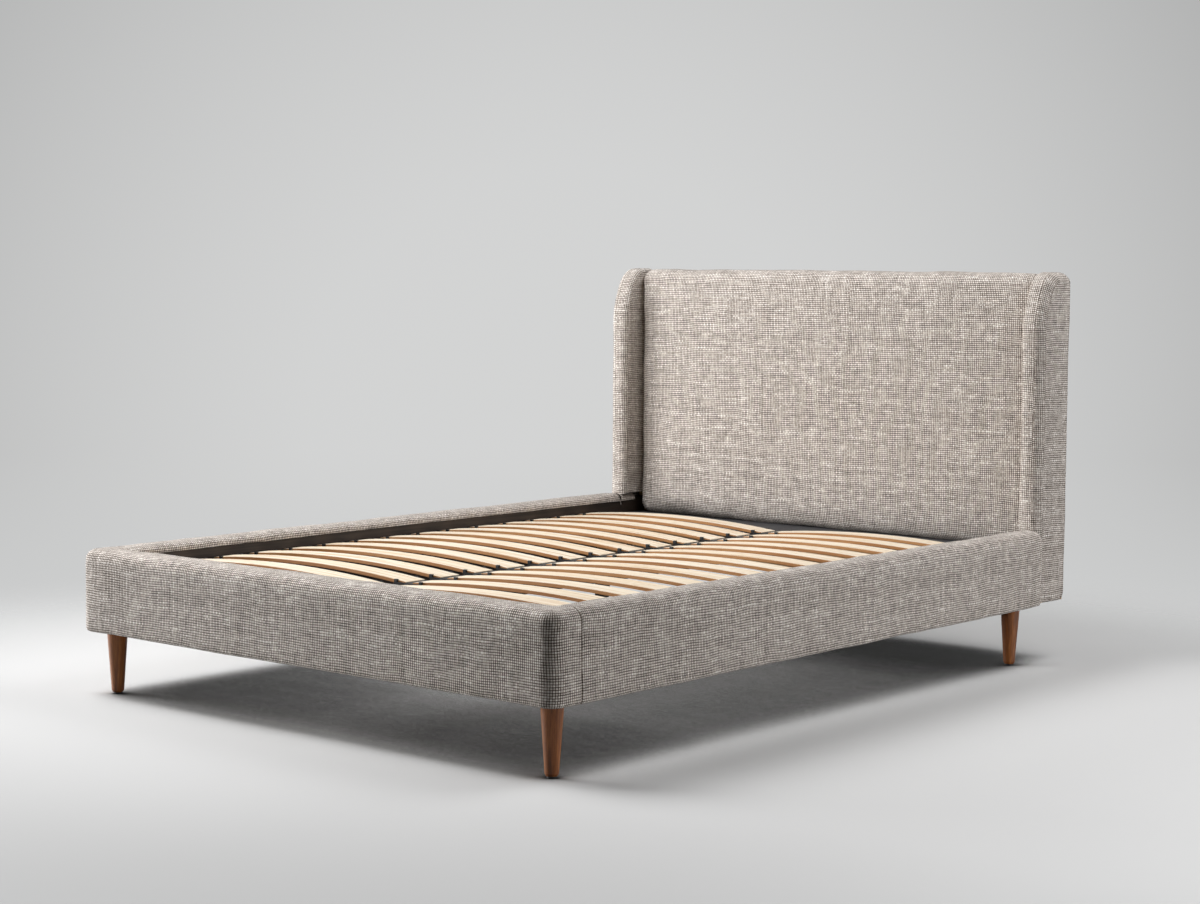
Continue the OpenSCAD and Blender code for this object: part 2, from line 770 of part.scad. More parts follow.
module frame_bolts() {
    color(zinc) {
        for (side = ["left", "right"]) on_side(side) {
            for (y = side_bolt_ys, z = bolt_zs) translate([ledger_x - bracket_t, y, z]) rotate([0, 90, 0]) {
                translate([0, 0, -bolt_head_h]) cylinder(d = bolt_head_d, h = bolt_head_h, $fn = 6);
                cylinder(d = bolt_d, h = bracket_t + bolt_bite);
            }
            for (z = bolt_zs) {
                bolt_y([end_bolt_x, foot_y + frame_back + bracket_t, z], -1);
                bolt_y([end_bolt_x, board_y - bracket_t, z], 1);
            }
        }
        for (s = [-1, 1]) {
            bolt_y([s * centre_bolt_x, foot_y + frame_back + bracket_t, centre_bolt_z], -1);
            bolt_y([s * centre_bolt_x, board_y - bracket_t, centre_bolt_z], 1);
        }
    }
}

headboard_board();
headboard_pad();
headboard_back_cover();
wing_board("left");  // wing_board_left
wing_board("right");  // wing_board_right
wing_cover("left");  // wing_cover_left
wing_cover("right");  // wing_cover_right
side_rail_board("left");  // side_rail_board_left
side_rail_board("right");  // side_rail_board_right
side_rail_cover("left");  // side_rail_cover_left
side_rail_cover("right");  // side_rail_cover_right
foot_rail_frame();
foot_rail_cover();
head_cross_board();
ledger("left");  // ledger_left
ledger("right");  // ledger_right
centre_rail();
support_leg();
levelling_foot();
leg("left", 0);  // leg_front_left
leg("right", 0);  // leg_front_right
leg("left", 1);  // leg_back_left
leg("right", 1);  // leg_back_right
leg_glides();
leg_bolts();
leg_blocks();
corner_brackets();
frame_bolts();
outer_slat_holders();
centre_slat_holders();
for (i = [0 : slat_count - 1]) {
    slat("left", i);
    slat("right", i);
}
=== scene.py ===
"""An upholstered double bed with a winged headboard, its light and its camera. Lengths are in metres."""

import math

import bmesh
import bpy
import numpy as np
from mathutils import Matrix, Vector


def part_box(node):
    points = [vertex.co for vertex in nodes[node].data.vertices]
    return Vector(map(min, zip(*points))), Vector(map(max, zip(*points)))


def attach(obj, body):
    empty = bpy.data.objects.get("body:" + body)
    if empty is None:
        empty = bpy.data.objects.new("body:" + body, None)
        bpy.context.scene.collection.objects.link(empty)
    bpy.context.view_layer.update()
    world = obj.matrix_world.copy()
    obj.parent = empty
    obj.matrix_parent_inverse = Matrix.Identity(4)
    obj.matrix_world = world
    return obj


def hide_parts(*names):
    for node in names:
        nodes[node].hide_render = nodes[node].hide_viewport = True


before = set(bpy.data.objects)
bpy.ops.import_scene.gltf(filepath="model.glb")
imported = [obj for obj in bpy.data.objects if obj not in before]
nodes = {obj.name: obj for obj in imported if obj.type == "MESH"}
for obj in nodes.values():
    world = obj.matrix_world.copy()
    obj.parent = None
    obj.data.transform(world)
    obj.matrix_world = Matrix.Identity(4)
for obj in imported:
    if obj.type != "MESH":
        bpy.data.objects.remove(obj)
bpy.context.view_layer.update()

# Main places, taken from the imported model
rail_low, rail_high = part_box("side_rail_cover_right")
foot_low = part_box("foot_rail_cover")[0]
panel_low, panel_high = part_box("headboard_pad")
wing_low, wing_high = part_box("wing_cover_right")
back_low, back_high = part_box("headboard_back_cover")
board_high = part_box("side_rail_board_right")[1]
head_board_low, head_board_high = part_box("headboard_board")

SIDE_X = rail_high.x
FOOT_Y = foot_low.y
HEAD_Y = panel_high.y
RAIL_BASE = rail_low.z
RAIL_TOP = rail_high.z

# Rails
SIDE_T = 0.078
FOOT_T = 0.092
SIDE_PAD = 0.028
FOOT_PAD = 0.034
TOP_R = 0.028
INNER_R = 0.020
LOW_R = 0.010
CORNER_R = 0.038
WRAP_W = 0.006
WRAP_T = 0.004
LAP_T = 0.006
LAP_Z = 0.345
LAP_TUCK = 0.0015
LAP_DROP = 0.0004
LAP_HEM = 0.001
LAP_LIFT = 0.0012
LAP_DRAW = 0.004
LAP_HOLD = 0.02
BOARD_HOLD = 0.008
LIP_OVERLAP = 0.0002
LIP_CLOTH = 0.31
BOARD_GAP = 0.0003
SEAM = 0.0005
SEAM_R = 0.005
SEAM_CLOTH = 0.02
REAR_SIDE_R = 0.014
REAR_TOP_R = 0.016
END_LOW_R = 0.003
REAR_GAP = 0.0016
TONGUE_OUT = 0.046

# Headboard
WING_Y = wing_low.y
WING_OUT = SIDE_X - wing_high.x
WING_IN = 0.086
WING_OUTER_R = 0.025
WING_INNER_R = 0.013
REAR_SHARE = 0.28
WING_CROWN = 0.0042
WING_CROWN_RUN = 0.105
WING_REAR_R = 0.026
WING_LOW_IN = 0.0455
WING_FACE_D = 0.022
WING_FACE_RUN = 0.020
WING_CLOTH = 0.4
WING_RING = 0.008
# insets and depths of the groove along a wing's outer seam
WING_GROOVE = ((0.0026, 0), (0.0011, 0.0002), (0.0003, 0.0016), (-0.0007, 0.0003))
SHOULDER_D = 0.096
SHOULDER_R = 0.070
SHOULDER_Z = 0.912
# a large bend joins the front at SHOULDER_Z and the small bend below the top, each tangent to the next
SHOULDER_RISE = wing_high.z - SHOULDER_Z - SHOULDER_R
SHOULDER_BIG_R = (SHOULDER_D ** 2 + SHOULDER_RISE ** 2 - SHOULDER_R ** 2) / (2 * (SHOULDER_D - SHOULDER_R))
SHOULDER_TURN = math.degrees(math.atan2(SHOULDER_RISE, SHOULDER_BIG_R - SHOULDER_D))
PANEL_EDGE_R = 0.030
PANEL_CORNER_R = 0.034
PANEL_CROWN = 0.006
PANEL_CROWN_RUN = 0.306
PANEL_SIDE = 0.008
CAP_R = 0.010
CAP_CLOTH = 0.07
BOARD_LID = 0.0006
BOARD_CLEAR = 0.0004
BACK_PROUD = 0.0014
BACK_R = 0.003
BACK_CELL = 0.014
FOLD_W = 0.034
FOLD_R = 0.001
FOLD_LIFT = 0.0015

# Cloth
CELL = 0.010
SHELL = 0.0022
BACK_SHELL = 0.0012
RAIL_SWELL = 0.0025
WING_SWELL = 0.002
PANEL_SWELL = 0.005
RAIL_RIPPLE = 0.0005
WING_RIPPLE = 0.0006
PANEL_RIPPLE = 0.0008
FINE_RIPPLE = 0.00012
CLOTH_PRESSURE = 1.2
CLOTH_FRAMES = 8
WELD = 2e-5
SHARP_ANGLE = math.radians(48)
THREAD_PITCH = 0.0058
# the left side's cloth is cut elsewhere from the roll, so that it isn't the right side's mirror image
LEFT_CLOTH = np.array([3.7, 1.9])

# Slats
SLAT_R = 3.387
SLAT_CREST_Z = 0.336
SLAT_MID_X = 0.3607
SLAT_T = 0.008
SLAT_PLIES = 5.0
SLAT_FIRST_Y = -0.932
SLAT_PITCH = 0.12093
SLAT_EASE = 0.0010
BOARD_EASE = 0.0008
EASE_ANGLE = math.radians(40)


def srgb(r, g, b):
    """A display colour on a scale from 0 to 255, as linear light with alpha 1."""
    def channel(v):
        v = v / 255
        return v / 12.92 if v <= 0.04045 else ((v + 0.055) / 1.055) ** 2.4
    return (channel(r), channel(g), channel(b), 1.0)


# Curves and grids

def arc(cx, cy, r, a0, a1, n):
    """n + 1 points of a circular arc, with angles in degrees."""
    a = np.radians(np.linspace(a0, a1, n + 1))
    return np.stack([cx + r * np.cos(a), cy + r * np.sin(a)], -1)


def line(p, q, n):
    """n + 1 points from p to q."""
    return np.linspace(np.array(p, float), np.array(q, float), n + 1)


def chain(*parts):
    """Joins runs of points, leaving out a point that repeats the one before it."""
    points = [parts[0][0]]
    for part in parts:
        for p in part:
            if np.linalg.norm(p - points[-1]) > 1e-7:
                points.append(p)
    return np.array(points)


def lengths(points):
    """Distance along a run of points."""
    steps = np.linalg.norm(np.diff(points, axis=0), axis=1)
    return np.concatenate([[0], np.cumsum(steps)])


def resample(points, n):
    """n points, evenly spaced along a run of points."""
    at = lengths(points)
    t = np.linspace(0, at[-1], n)
    return np.stack([np.interp(t, at, points[:, k]) for k in range(points.shape[1])], -1)


def patch(bottom, top, left, right):
    """Grid of points that fills the area between four lines which meet at their ends."""
    s = np.linspace(0, 1, len(bottom))[None, :, None]
    t = np.linspace(0, 1, len(left))[:, None, None]
    across = (1 - t) * bottom[None, :, :] + t * top[None, :, :]
    up = (1 - s) * left[:, None, :] + s * right[:, None, :]
    corners = ((1 - s) * (1 - t) * bottom[0] + s * (1 - t) * bottom[-1]
               + (1 - s) * t * top[0] + s * t * top[-1])
    return across + up - corners


def upright(flat, y):
    """Points (x, z) set up at y, which is one number or one for each point."""
    return np.stack([flat[..., 0], np.broadcast_to(y, flat.shape[:-1]), flat[..., 1]], -1)


def steps_between(a, b, size):
    """Number of even steps of about that size from a to b."""
    return max(1, int(round(abs(b - a) / size)))


def ease(t):
    """Goes from 0 to 1, with no slope at either end."""
    t = np.clip(t, 0, 1)
    return t * t * (3 - 2 * t)


def quarter(s, r):
    """How far a surface has drawn in at a distance s from its end, where it is rounded to radius r."""
    s = np.clip(s, 0, r)
    return r - np.sqrt(np.maximum(r * r - (r - s) ** 2, 0))


class Form:
    """A mesh made of grids of points, each with its place on the cloth in metres."""

    def __init__(self):
        self.points, self.faces, self.cloth, self.count = [], [], [], 0

    def grid(self, p, uv, ref=None, out=None):
        """Adds a grid. Its faces look away from the point ref, or towards the direction out."""
        p, uv = np.asarray(p, float), np.asarray(uv, float)
        rows, cols = p.shape[:2]
        index = np.arange(rows * cols).reshape(rows, cols)
        quads = np.stack([index[:-1, :-1], index[:-1, 1:], index[1:, 1:], index[1:, :-1]], -1)
        quads = quads.reshape(-1, 4)
        flat = p.reshape(-1, 3)
        a, b, c, d = (flat[quads[:, k]] for k in range(4))
        normal = np.cross(c - a, d - b)
        middle = (a + b + c + d) / 4
        away = middle - np.asarray(ref, float) if ref is not None else np.asarray(out, float)
        if np.sum(normal * away) < 0:
            quads = quads[:, ::-1]
        self.points.append(flat)
        self.cloth.append(uv.reshape(-1, 2))
        self.faces.append(quads + self.count)
        self.count += len(flat)

    def build(self, name, mirror=False):
        """Welds the grids into one object, mirrored for the left side."""
        points = np.concatenate(self.points)
        cloth = np.concatenate(self.cloth)
        faces = np.concatenate(self.faces)
        if mirror:
            points = points * np.array([-1, 1, 1])
            cloth = cloth + LEFT_CLOTH
            faces = faces[:, ::-1]
        mesh = bpy.data.meshes.new(name)
        mesh.from_pydata(points.tolist(), [], faces.tolist())
        layer = mesh.uv_layers.new(name="cloth")
        corner = np.empty(len(mesh.loops), np.int32)
        mesh.loops.foreach_get("vertex_index", corner)
        layer.data.foreach_set("uv", cloth[corner].astype(np.float32).ravel())
        b = bmesh.new()
        b.from_mesh(mesh)
        bmesh.ops.remove_doubles(b, verts=b.verts, dist=WELD)
        bmesh.ops.dissolve_degenerate(b, edges=b.edges, dist=1e-6)
        for f in b.faces:
            f.smooth = True
        for e in b.edges:
            if len(e.link_faces) == 2 and e.calc_face_angle(0) > SHARP_ANGLE:
                e.smooth = False
        b.to_mesh(mesh)
        b.free()
        obj = bpy.data.objects.new(name, mesh)
        bpy.context.scene.collection.objects.link(obj)
        return obj


# Cloth over foam

def waves(seed, count, short, long):
    """A smooth random field with an rms of about 1."""
    rng = np.random.default_rng(seed)
    direction = rng.normal(size=(count, 3))
    direction /= np.linalg.norm(direction, axis=1)[:, None]
    size = rng.uniform(short, long, count)
    phase = rng.uniform(0, 2 * math.pi, count)

    def field(p):
        return np.sin(2 * math.pi * (p @ direction.T) / size + phase).sum(1) * math.sqrt(2 / count)
    return field


soft_field = waves(11, 14, 0.11, 0.34)
fine_field = waves(12, 16, 0.035, 0.075)


def read_points(mesh):
    co = np.empty(len(mesh.vertices) * 3)
    mesh.vertices.foreach_get("co", co)
    return co.reshape(-1, 3)


def read_normals(mesh):
    n = np.empty(len(mesh.vertices) * 3)
    mesh.vertex_normals.foreach_get("vector", n)
    return n.reshape(-1, 3)


def write_points(mesh, p):
    mesh.vertices.foreach_set("co", np.asarray(p, np.float32).ravel())
    mesh.update()


def ripple(obj, soft):
    """Moves a pad's surface in and out by a smooth random amount, as stretched cloth over foam has."""
    p, n = read_points(obj.data), read_normals(obj.data)
    write_points(obj.data, p + n * (soft * soft_field(p) + FINE_RIPPLE * fine_field(p))[:, None])


def thicken(obj, depth=SHELL):
    """Gives an open skin its depth, inwards."""
    m = obj.modifiers.new("cloth_depth", "SOLIDIFY")
    m.thickness = depth
    m.offset = -1
    m.use_even_offset = False


def puff(obj, cap, held=None):
    """Lets the cloth swell over its foam under a little pressure, held at its seams, by cap at most."""
    mesh = obj.data
    rest = read_points(mesh)
    edge_use = np.zeros(len(mesh.edges), int)
    for polygon in mesh.polygons:
        for key in polygon.loop_indices:
            edge_use[mesh.loops[key].edge_index] += 1
    pinned = {v for e in mesh.edges if edge_use[e.index] == 1 for v in e.vertices}
    if held is not None:
        pinned.update(np.nonzero(held(rest))[0].tolist())
    group = obj.vertex_groups.new(name="held")
    group.add([int(v) for v in pinned], 1.0, "REPLACE")
    cloth = obj.modifiers.new("cloth", "CLOTH")
    settings = cloth.settings
    settings.quality = 4
    settings.mass = 0.3
    settings.tension_stiffness = settings.compression_stiffness = 40
    settings.shear_stiffness = 12
    settings.bending_stiffness = 2
    settings.vertex_group_mass = "held"
    settings.use_pressure = True
    settings.uniform_pressure_force = CLOTH_PRESSURE
    settings.effector_weights.gravity = 0
    cloth.point_cache.frame_start, cloth.point_cache.frame_end = 1, CLOTH_FRAMES
    for frame_now in range(1, CLOTH_FRAMES + 1):
        bpy.context.scene.frame_set(frame_now)
    graph = bpy.context.evaluated_depsgraph_get()
    swollen = read_points(obj.evaluated_get(graph).data)
    obj.modifiers.remove(cloth)
    obj.vertex_groups.remove(group)
    bpy.context.scene.frame_set(1)
    move = swollen - rest
    most = np.linalg.norm(move, axis=1).max()
    write_points(mesh, rest + move * min(1, cap / most))


# Node helpers

class Nodes:
    """A node tree, with short ways to add to it."""

    def __init__(self, tree):
        self.tree = tree

    def node(self, kind, **settings):
        n = self.tree.nodes.new(kind)
        for k, v in settings.items():
            setattr(n, k, v)
        return n

    def put(self, socket, value):
        """Links another socket to this one, or sets it to a plain value."""
        if isinstance(value, bpy.types.NodeSocket):
            self.tree.links.new(value, socket)
        else:
            socket.default_value = value

    def math(self, op, a, b=None, c=None):
        n = self.node("ShaderNodeMath", operation=op)
        for k, v in enumerate((a, b, c)):
            if v is not None:
                self.put(n.inputs[k], v)
        return n.outputs[0]

    def hypot(self, a, b):
        """The square root of the sum of two squares."""
        squares = self.math("ADD", self.math("MULTIPLY", a, a), self.math("MULTIPLY", b, b))
        return self.math("SQRT", squares)

    def combine(self, x, y, z=0.0):
        n = self.node("ShaderNodeCombineXYZ")
        for k, v in enumerate((x, y, z)):
            self.put(n.inputs[k], v)
        return n.outputs[0]

    def stretched(self, place, scale):
        """A place with each of its coordinates scaled by a factor of its own."""
        return self.combine(*(self.math("MULTIPLY", v, k) for v, k in zip(place, scale)))

    def separate(self, vector):
        n = self.node("ShaderNodeSeparateXYZ")
        self.put(n.inputs[0], vector)
        return n.outputs

    def noise(self, vector, scale=1.0, detail=2.0, rough=0.5, dims="3D", output="Fac"):
        n = self.node("ShaderNodeTexNoise", noise_dimensions=dims)
        self.put(n.inputs["Vector"], vector)
        n.inputs["Scale"].default_value = scale
        n.inputs["Detail"].default_value = detail
        n.inputs["Roughness"].default_value = rough
        return n.outputs[output]

    def white(self, vector, dims="2D"):
        n = self.node("ShaderNodeTexWhiteNoise", noise_dimensions=dims)
        self.put(n.inputs["W" if dims == "1D" else "Vector"], vector)
        return n.outputs["Value"]

    def ramp(self, value, stops):
        n = self.node("ShaderNodeValToRGB")
        r = n.color_ramp
        while len(r.elements) < len(stops):
            r.elements.new(0.5)
        for e, (place, colour) in zip(r.elements, stops):
            e.position = place
            e.color = colour
        self.put(n.inputs[0], value)
        return n.outputs["Color"]

    def mix(self, factor, a, b, blend="MIX"):
        n = self.node("ShaderNodeMix", data_type="RGBA", blend_type=blend)
        self.put(n.inputs[0], factor)
        self.put(n.inputs[6], a)
        self.put(n.inputs[7], b)
        return n.outputs[2]

    def spread(self, value, low, high, to_low=0.0, to_high=1.0, smooth=False):
        n = self.node("ShaderNodeMapRange")
        if smooth:
            n.interpolation_type = "SMOOTHSTEP"
        self.put(n.inputs["Value"], value)
        for name, v in (("From Min", low), ("From Max", high), ("To Min", to_low), ("To Max", to_high)):
            n.inputs[name].default_value = v
        return n.outputs["Result"]

    def looked_at(self):
        """1 for rays of the camera and for mirrored ones, and 0 for the light's own."""
        path = self.node("ShaderNodeLightPath")
        return self.math("MAXIMUM", path.outputs["Is Camera Ray"], path.outputs["Is Glossy Ray"])

    def mix_shaders(self, factor, a, b, output):
        """Sends a mix of two shaders to the output node's surface."""
        n = self.node("ShaderNodeMixShader")
        for k, v in enumerate((factor, a, b)):
            self.put(n.inputs[k], v)
        self.put(output.inputs["Surface"], n.outputs[0])


class Graph(Nodes):
    """A new material with its Principled shader."""

    def __init__(self, name):
        self.material = bpy.data.materials.new(name)
        self.material.use_nodes = True
        super().__init__(self.material.node_tree)
        self.shader = self.tree.nodes["Principled BSDF"]

    def object_place(self):
        return self.node("ShaderNodeTexCoord").outputs["Object"]

    def bump(self, height, distance, strength):
        n = self.node("ShaderNodeBump")
        n.inputs["Strength"].default_value = strength
        n.inputs["Distance"].default_value = distance
        self.put(n.inputs["Height"], height)
        self.put(self.shader.inputs["Normal"], n.outputs[0])

    def finish(self, colour, **sockets):
        self.put(self.shader.inputs["Base Color"], colour)
        for k, v in sockets.items():
            self.put(self.shader.inputs[k.replace("_", " ")], v)
        return self.material


def weave(name):
    """Coarse plain weave of heathered yarn, drawn on the cloth's own coordinates, with painted shade in the
    gaps between threads and painted highlight on their crowns.
    """
    g = Graph(name)
    place = g.node("ShaderNodeUVMap", uv_map="cloth").outputs[0]
    u, v, _ = g.separate(place)
    du, dv, _ = g.separate(g.noise(place, 7.0, 1.0, dims="2D", output="Color"))
    p = g.math("MULTIPLY_ADD", u, 1 / THREAD_PITCH, g.math("MULTIPLY", du, 1.6))
    q = g.math("MULTIPLY_ADD", v, 1 / THREAD_PITCH, g.math("MULTIPLY", dv, 1.6))
    i = g.math("FLOOR", p)
    j = g.math("FLOOR", q)

    def squared(x):
        return g.math("MULTIPLY", x, x)

    def offset(x, thin):
        """Distance from a thread's middle, squared, and 1 in the gap beside it."""
        from_middle = g.math("MULTIPLY_ADD", g.math("FRACT", x), 2.0, -1.0)
        return g.math("MINIMUM", squared(g.math("MULTIPLY", from_middle, thin)), 1.0)

    def crossing(across, along):
        """Height of the thread on top of a crossing: round across, and dipping at its ends."""
        body = g.math("SQRT", g.math("MULTIPLY_ADD", across, -0.97, 1.0))
        return g.math("MULTIPLY", body, g.math("MULTIPLY_ADD", squared(along), -0.62, 1.0))

    def own(thread, seed):
        """A thread's own tone."""
        return g.white(g.math("ADD", thread, seed), "1D")

    def run(along, thread, length, seed):
        """Slow change along one thread."""
        start = g.math("MULTIPLY", own(thread, seed), 60.0)
        at = g.combine(g.math("MULTIPLY_ADD", along, 1 / length, start), g.math("MULTIPLY", thread, 7.31))
        return g.noise(at, detail=1.0, dims="2D")

    # thick places, thin places and tone, along each warp and weft thread
    warp_slub = g.spread(run(v, i, 0.045, 13.7), 0.62, 0.76)
    weft_slub = g.spread(run(u, j, 0.060, 91.3), 0.60, 0.75)
    warp_thin = g.spread(run(v, i, 0.028, 33.3), 0.34, 0.66, 1.32, 0.98)
    weft_thin = g.spread(run(u, j, 0.032, 48.1), 0.34, 0.66, 1.32, 0.98)
    warp_tone = g.math("MULTIPLY_ADD", own(i, 3.5), 0.10, g.math("MULTIPLY", run(v, i, 0.09, 55.1), 0.13))
    weft_tone = g.math("MULTIPLY_ADD", own(j, 71.0), 0.11, g.math("MULTIPLY", run(u, j, 0.11, 27.9), 0.16))
    warp_tone = g.math("MULTIPLY_ADD", warp_slub, 0.15, warp_tone)
    weft_tone = g.math("MULTIPLY_ADD", weft_slub, 0.22, weft_tone)

    op, oq = offset(p, warp_thin), offset(q, weft_thin)
    stitch = g.white(g.combine(i, j))
    weft_up = g.math("GREATER_THAN", g.math("FRACT", g.math("MULTIPLY", g.math("ADD", i, j), 0.5)), 0.25)

    def either(warp, weft):
        return g.math("MULTIPLY_ADD", weft_up, g.math("SUBTRACT", weft, warp), warp)

    height = either(crossing(op, oq), crossing(oq, op))
    tone = either(warp_tone, weft_tone)
    fleck = g.noise(place, 620.0, 2.0, 0.7, dims="2D")
    cloud = g.noise(place, 17.0, dims="2D")
    # the threads' tone is their own, while their height makes the colour darker in the gaps between threads
    # and lighter on their crowns: painted shade and painted highlight
    value = g.math("MULTIPLY_ADD", height, 0.66, tone)
    value = g.math("MULTIPLY_ADD", fleck, 0.16, value)
    value = g.math("MULTIPLY_ADD", cloud, 0.015, value)
    value = g.math("MULTIPLY_ADD", stitch, 0.03, g.math("ADD", value, 0.02))
    colour = g.ramp(value, [
        (0.30, srgb(37, 30, 24)),
        (0.48, srgb(113, 102, 92)),
        (0.64, srgb(184, 172, 162)),
        (0.82, srgb(225, 215, 207)),
        (0.98, srgb(250, 245, 240)),
    ])
    g.bump(g.math("MULTIPLY_ADD", fleck, 0.25, height), 0.0012, 0.9)
    return g.finish(colour, Roughness=0.92, Specular_IOR_Level=0.18, Sheen_Weight=0.08, Sheen_Roughness=0.5)


def birch(name):
    """Pale birch plies with orange-brown edges, for the slats."""
    g = Graph(name)
    x, y, z = g.separate(g.object_place())
    row = g.math("ROUND", g.math("MULTIPLY", g.math("SUBTRACT", y, SLAT_FIRST_Y), 1 / SLAT_PITCH))
    own = g.white(g.combine(row, g.math("SIGN", x)))
    shift = g.math("MULTIPLY", own, 37.0)

    def along(kx, ky, kz):
        """A place stretched along the slat, and shifted so that no two slats are alike."""
        far = g.math("MULTIPLY_ADD", x, kx, shift)
        return g.combine(far, g.math("MULTIPLY", y, ky), g.math("MULTIPLY", z, kz))

    grain = g.noise(along(2.4, 95.0, 30.0), 1.0, 4.0, 0.62)
    streak = g.noise(along(5.5, 260.0, 60.0), 1.0, 3.0, 0.7)
    mark = g.noise(along(26.0, 60.0, 1.0))
    value = g.math("MULTIPLY_ADD", streak, 0.35, g.math("MULTIPLY", grain, 0.65))
    top = g.ramp(value, [
        (0.34, srgb(196, 160, 122)),
        (0.45, srgb(234, 214, 186)),
        (0.56, srgb(248, 237, 219)),
        (0.75, srgb(253, 247, 235)),
    ])
    top = g.mix(g.spread(mark, 0.64, 0.76, 0.0, 0.5), top, srgb(196, 158, 116))
    top = g.mix(g.spread(own, 0.0, 1.0, 0.0, 0.22), top, srgb(228, 200, 164))
    # the plies follow the slat's arc
    from_mid = g.math("SUBTRACT", g.math("ABSOLUTE", x), SLAT_MID_X)
    radius = g.hypot(from_mid, g.math("ADD", z, SLAT_R - SLAT_CREST_Z))
    depth = g.math("MULTIPLY", g.math("SUBTRACT", SLAT_R, radius), SLAT_PLIES / SLAT_T)
    ply = g.math("PINGPONG", depth, 1.0)
    edge = g.ramp(g.math("MULTIPLY_ADD", ply, 0.45, g.math("MULTIPLY", grain, 0.6)), [
        (0.20, srgb(138, 82, 38)),
        (0.50, srgb(192, 130, 74)),
        (0.85, srgb(228, 180, 124)),
    ])
    _, ny, _ = g.separate(g.node("ShaderNodeNewGeometry").outputs["Normal"])
    is_edge = g.spread(g.math("ABSOLUTE", ny), 0.45, 0.80, smooth=True)
    colour = g.mix(is_edge, top, edge)
    g.bump(value, 0.0004, 0.5)
    return g.finish(colour, Roughness=g.spread(value, 0.3, 0.75, 0.62, 0.46), Specular_IOR_Level=0.35)


def turned_wood(name):
    """Mid-brown oiled wood with upright grain, for the legs."""
    g = Graph(name)
    x, y, z = g.separate(g.object_place())
    bend = g.math("MULTIPLY", g.noise(g.stretched((x, y, z), (12.0, 12.0, 4.0))), 0.02)
    bent = (g.math("ADD", x, bend), g.math("ADD", y, bend), z)
    fibre = g.noise(g.stretched(bent, (210.0, 210.0, 7.0)), 1.0, 4.0, 0.66)
    band = g.noise(g.stretched(bent, (55.0, 55.0, 2.5)))
    value = g.math("MULTIPLY_ADD", fibre, 0.5, g.math("MULTIPLY", band, 0.5))
    colour = g.ramp(value, [
        (0.30, srgb(80, 40, 13)),
        (0.46, srgb(128, 72, 27)),
        (0.58, srgb(162, 97, 42)),
        (0.74, srgb(190, 122, 60)),
    ])
    g.bump(value, 0.0004, 0.4)
    rough = g.spread(value, 0.3, 0.75, 0.50, 0.34)
    return g.finish(colour, Roughness=rough, Specular_IOR_Level=0.40, Coat_Weight=0.10, Coat_Roughness=0.35)


def plain_wood(name, dark, light, fibre_along="y"):
    """Sawn or painted board with a fine grain along one direction."""
    g = Graph(name)
    place = g.object_place()
    scale = [3.0 if axis == fibre_along else 130.0 for axis in "xyz"]
    fibre = g.noise(g.stretched(g.separate(place), scale), 1.0, 4.0, 0.6)
    cloud = g.noise(place, 9.0)
    value = g.math("MULTIPLY_ADD", fibre, 0.7, g.math("MULTIPLY", cloud, 0.3))
    colour = g.ramp(value, [(0.32, dark), (0.68, light)])
    g.bump(value, 0.0004, 0.5)
    return g.finish(colour, Roughness=g.spread(value, 0.3, 0.7, 0.72, 0.56))


def moulded(name, dark, light, rough_low, rough_high, metal=0.0, grain=900.0):
    """Finely textured plastic, powder coat or plated metal, a little duller where it is worn."""
    g = Graph(name)
    place = g.object_place()
    fine = g.noise(place, grain, 2.0, 0.6)
    cloud = g.noise(place, 22.0, 3.0, 0.6)
    value = g.math("MULTIPLY_ADD", fine, 0.45, g.math("MULTIPLY", cloud, 0.55))
    colour = g.ramp(value, [(0.35, dark), (0.65, light)])
    g.bump(fine, 0.00008, 0.7)
    return g.finish(colour, Roughness=g.spread(cloud, 0.3, 0.7, rough_low, rough_high), Metallic=metal)


fabric = weave("heathered_weave_painted_gap_shade")
materials = {
    "slat_wood": birch("birch_plies"),
    "leg_wood": turned_wood("oiled_leg_wood"),
    "dark_wood": plain_wood("dark_stained_board", srgb(30, 22, 16), srgb(56, 42, 31)),
    "frame_wood": plain_wood("plain_softwood", srgb(176, 138, 94), srgb(214, 182, 138), "x"),
    "grey_board": moulded("dark_grey_board", srgb(46, 46, 48), srgb(66, 66, 68), 0.62, 0.8, grain=500.0),
    "black_plastic": moulded("black_plastic", srgb(20, 20, 21), srgb(31, 31, 32), 0.38, 0.55),
    "black_steel": moulded("black_powder_coat", srgb(24, 24, 25), srgb(37, 37, 38), 0.42, 0.6,
                           grain=1500.0),
    "zinc_steel": moulded("zinc_plate", srgb(150, 150, 146), srgb(192, 192, 188), 0.26, 0.42, metal=0.95),
}


# Rail pads

def rail_outer(side=0.0, top=0.0, low=0.0):
    """A side pad's outer line as (distance in, height), from the wrap under the board to the lap inside.

    It is set in by side at the outer face, by top at the crest and by low below.
    """
    base, crest = RAIL_BASE + low, RAIL_TOP - top
    inner = SIDE_T - min(side, LAP_DRAW)
    lap_start = min(LAP_Z + LAP_LIFT, crest - INNER_R - LAP_DROP)
    return chain(
        line((SIDE_PAD + WRAP_W, base), (side + LOW_R, base), 4),
        arc(side + LOW_R, base + LOW_R, LOW_R, 270, 180, 6),
        line((side, base + LOW_R), (side, crest - TOP_R), 17),
        arc(side + TOP_R, crest - TOP_R, TOP_R, 180, 90, 11),
        line((side + TOP_R, crest), (inner - INNER_R, crest), 4),
        arc(inner - INNER_R, crest - INNER_R, INNER_R, 90, 0, 8),
        line((inner, crest - INNER_R), (inner, lap_start), 1),
        line((inner, lap_start), (inner - LAP_TUCK, LAP_Z - LAP_DROP), 1),
        line((inner - LAP_TUCK, LAP_Z - LAP_DROP), (inner - LAP_T + LAP_HEM, LAP_Z), 2),
    )


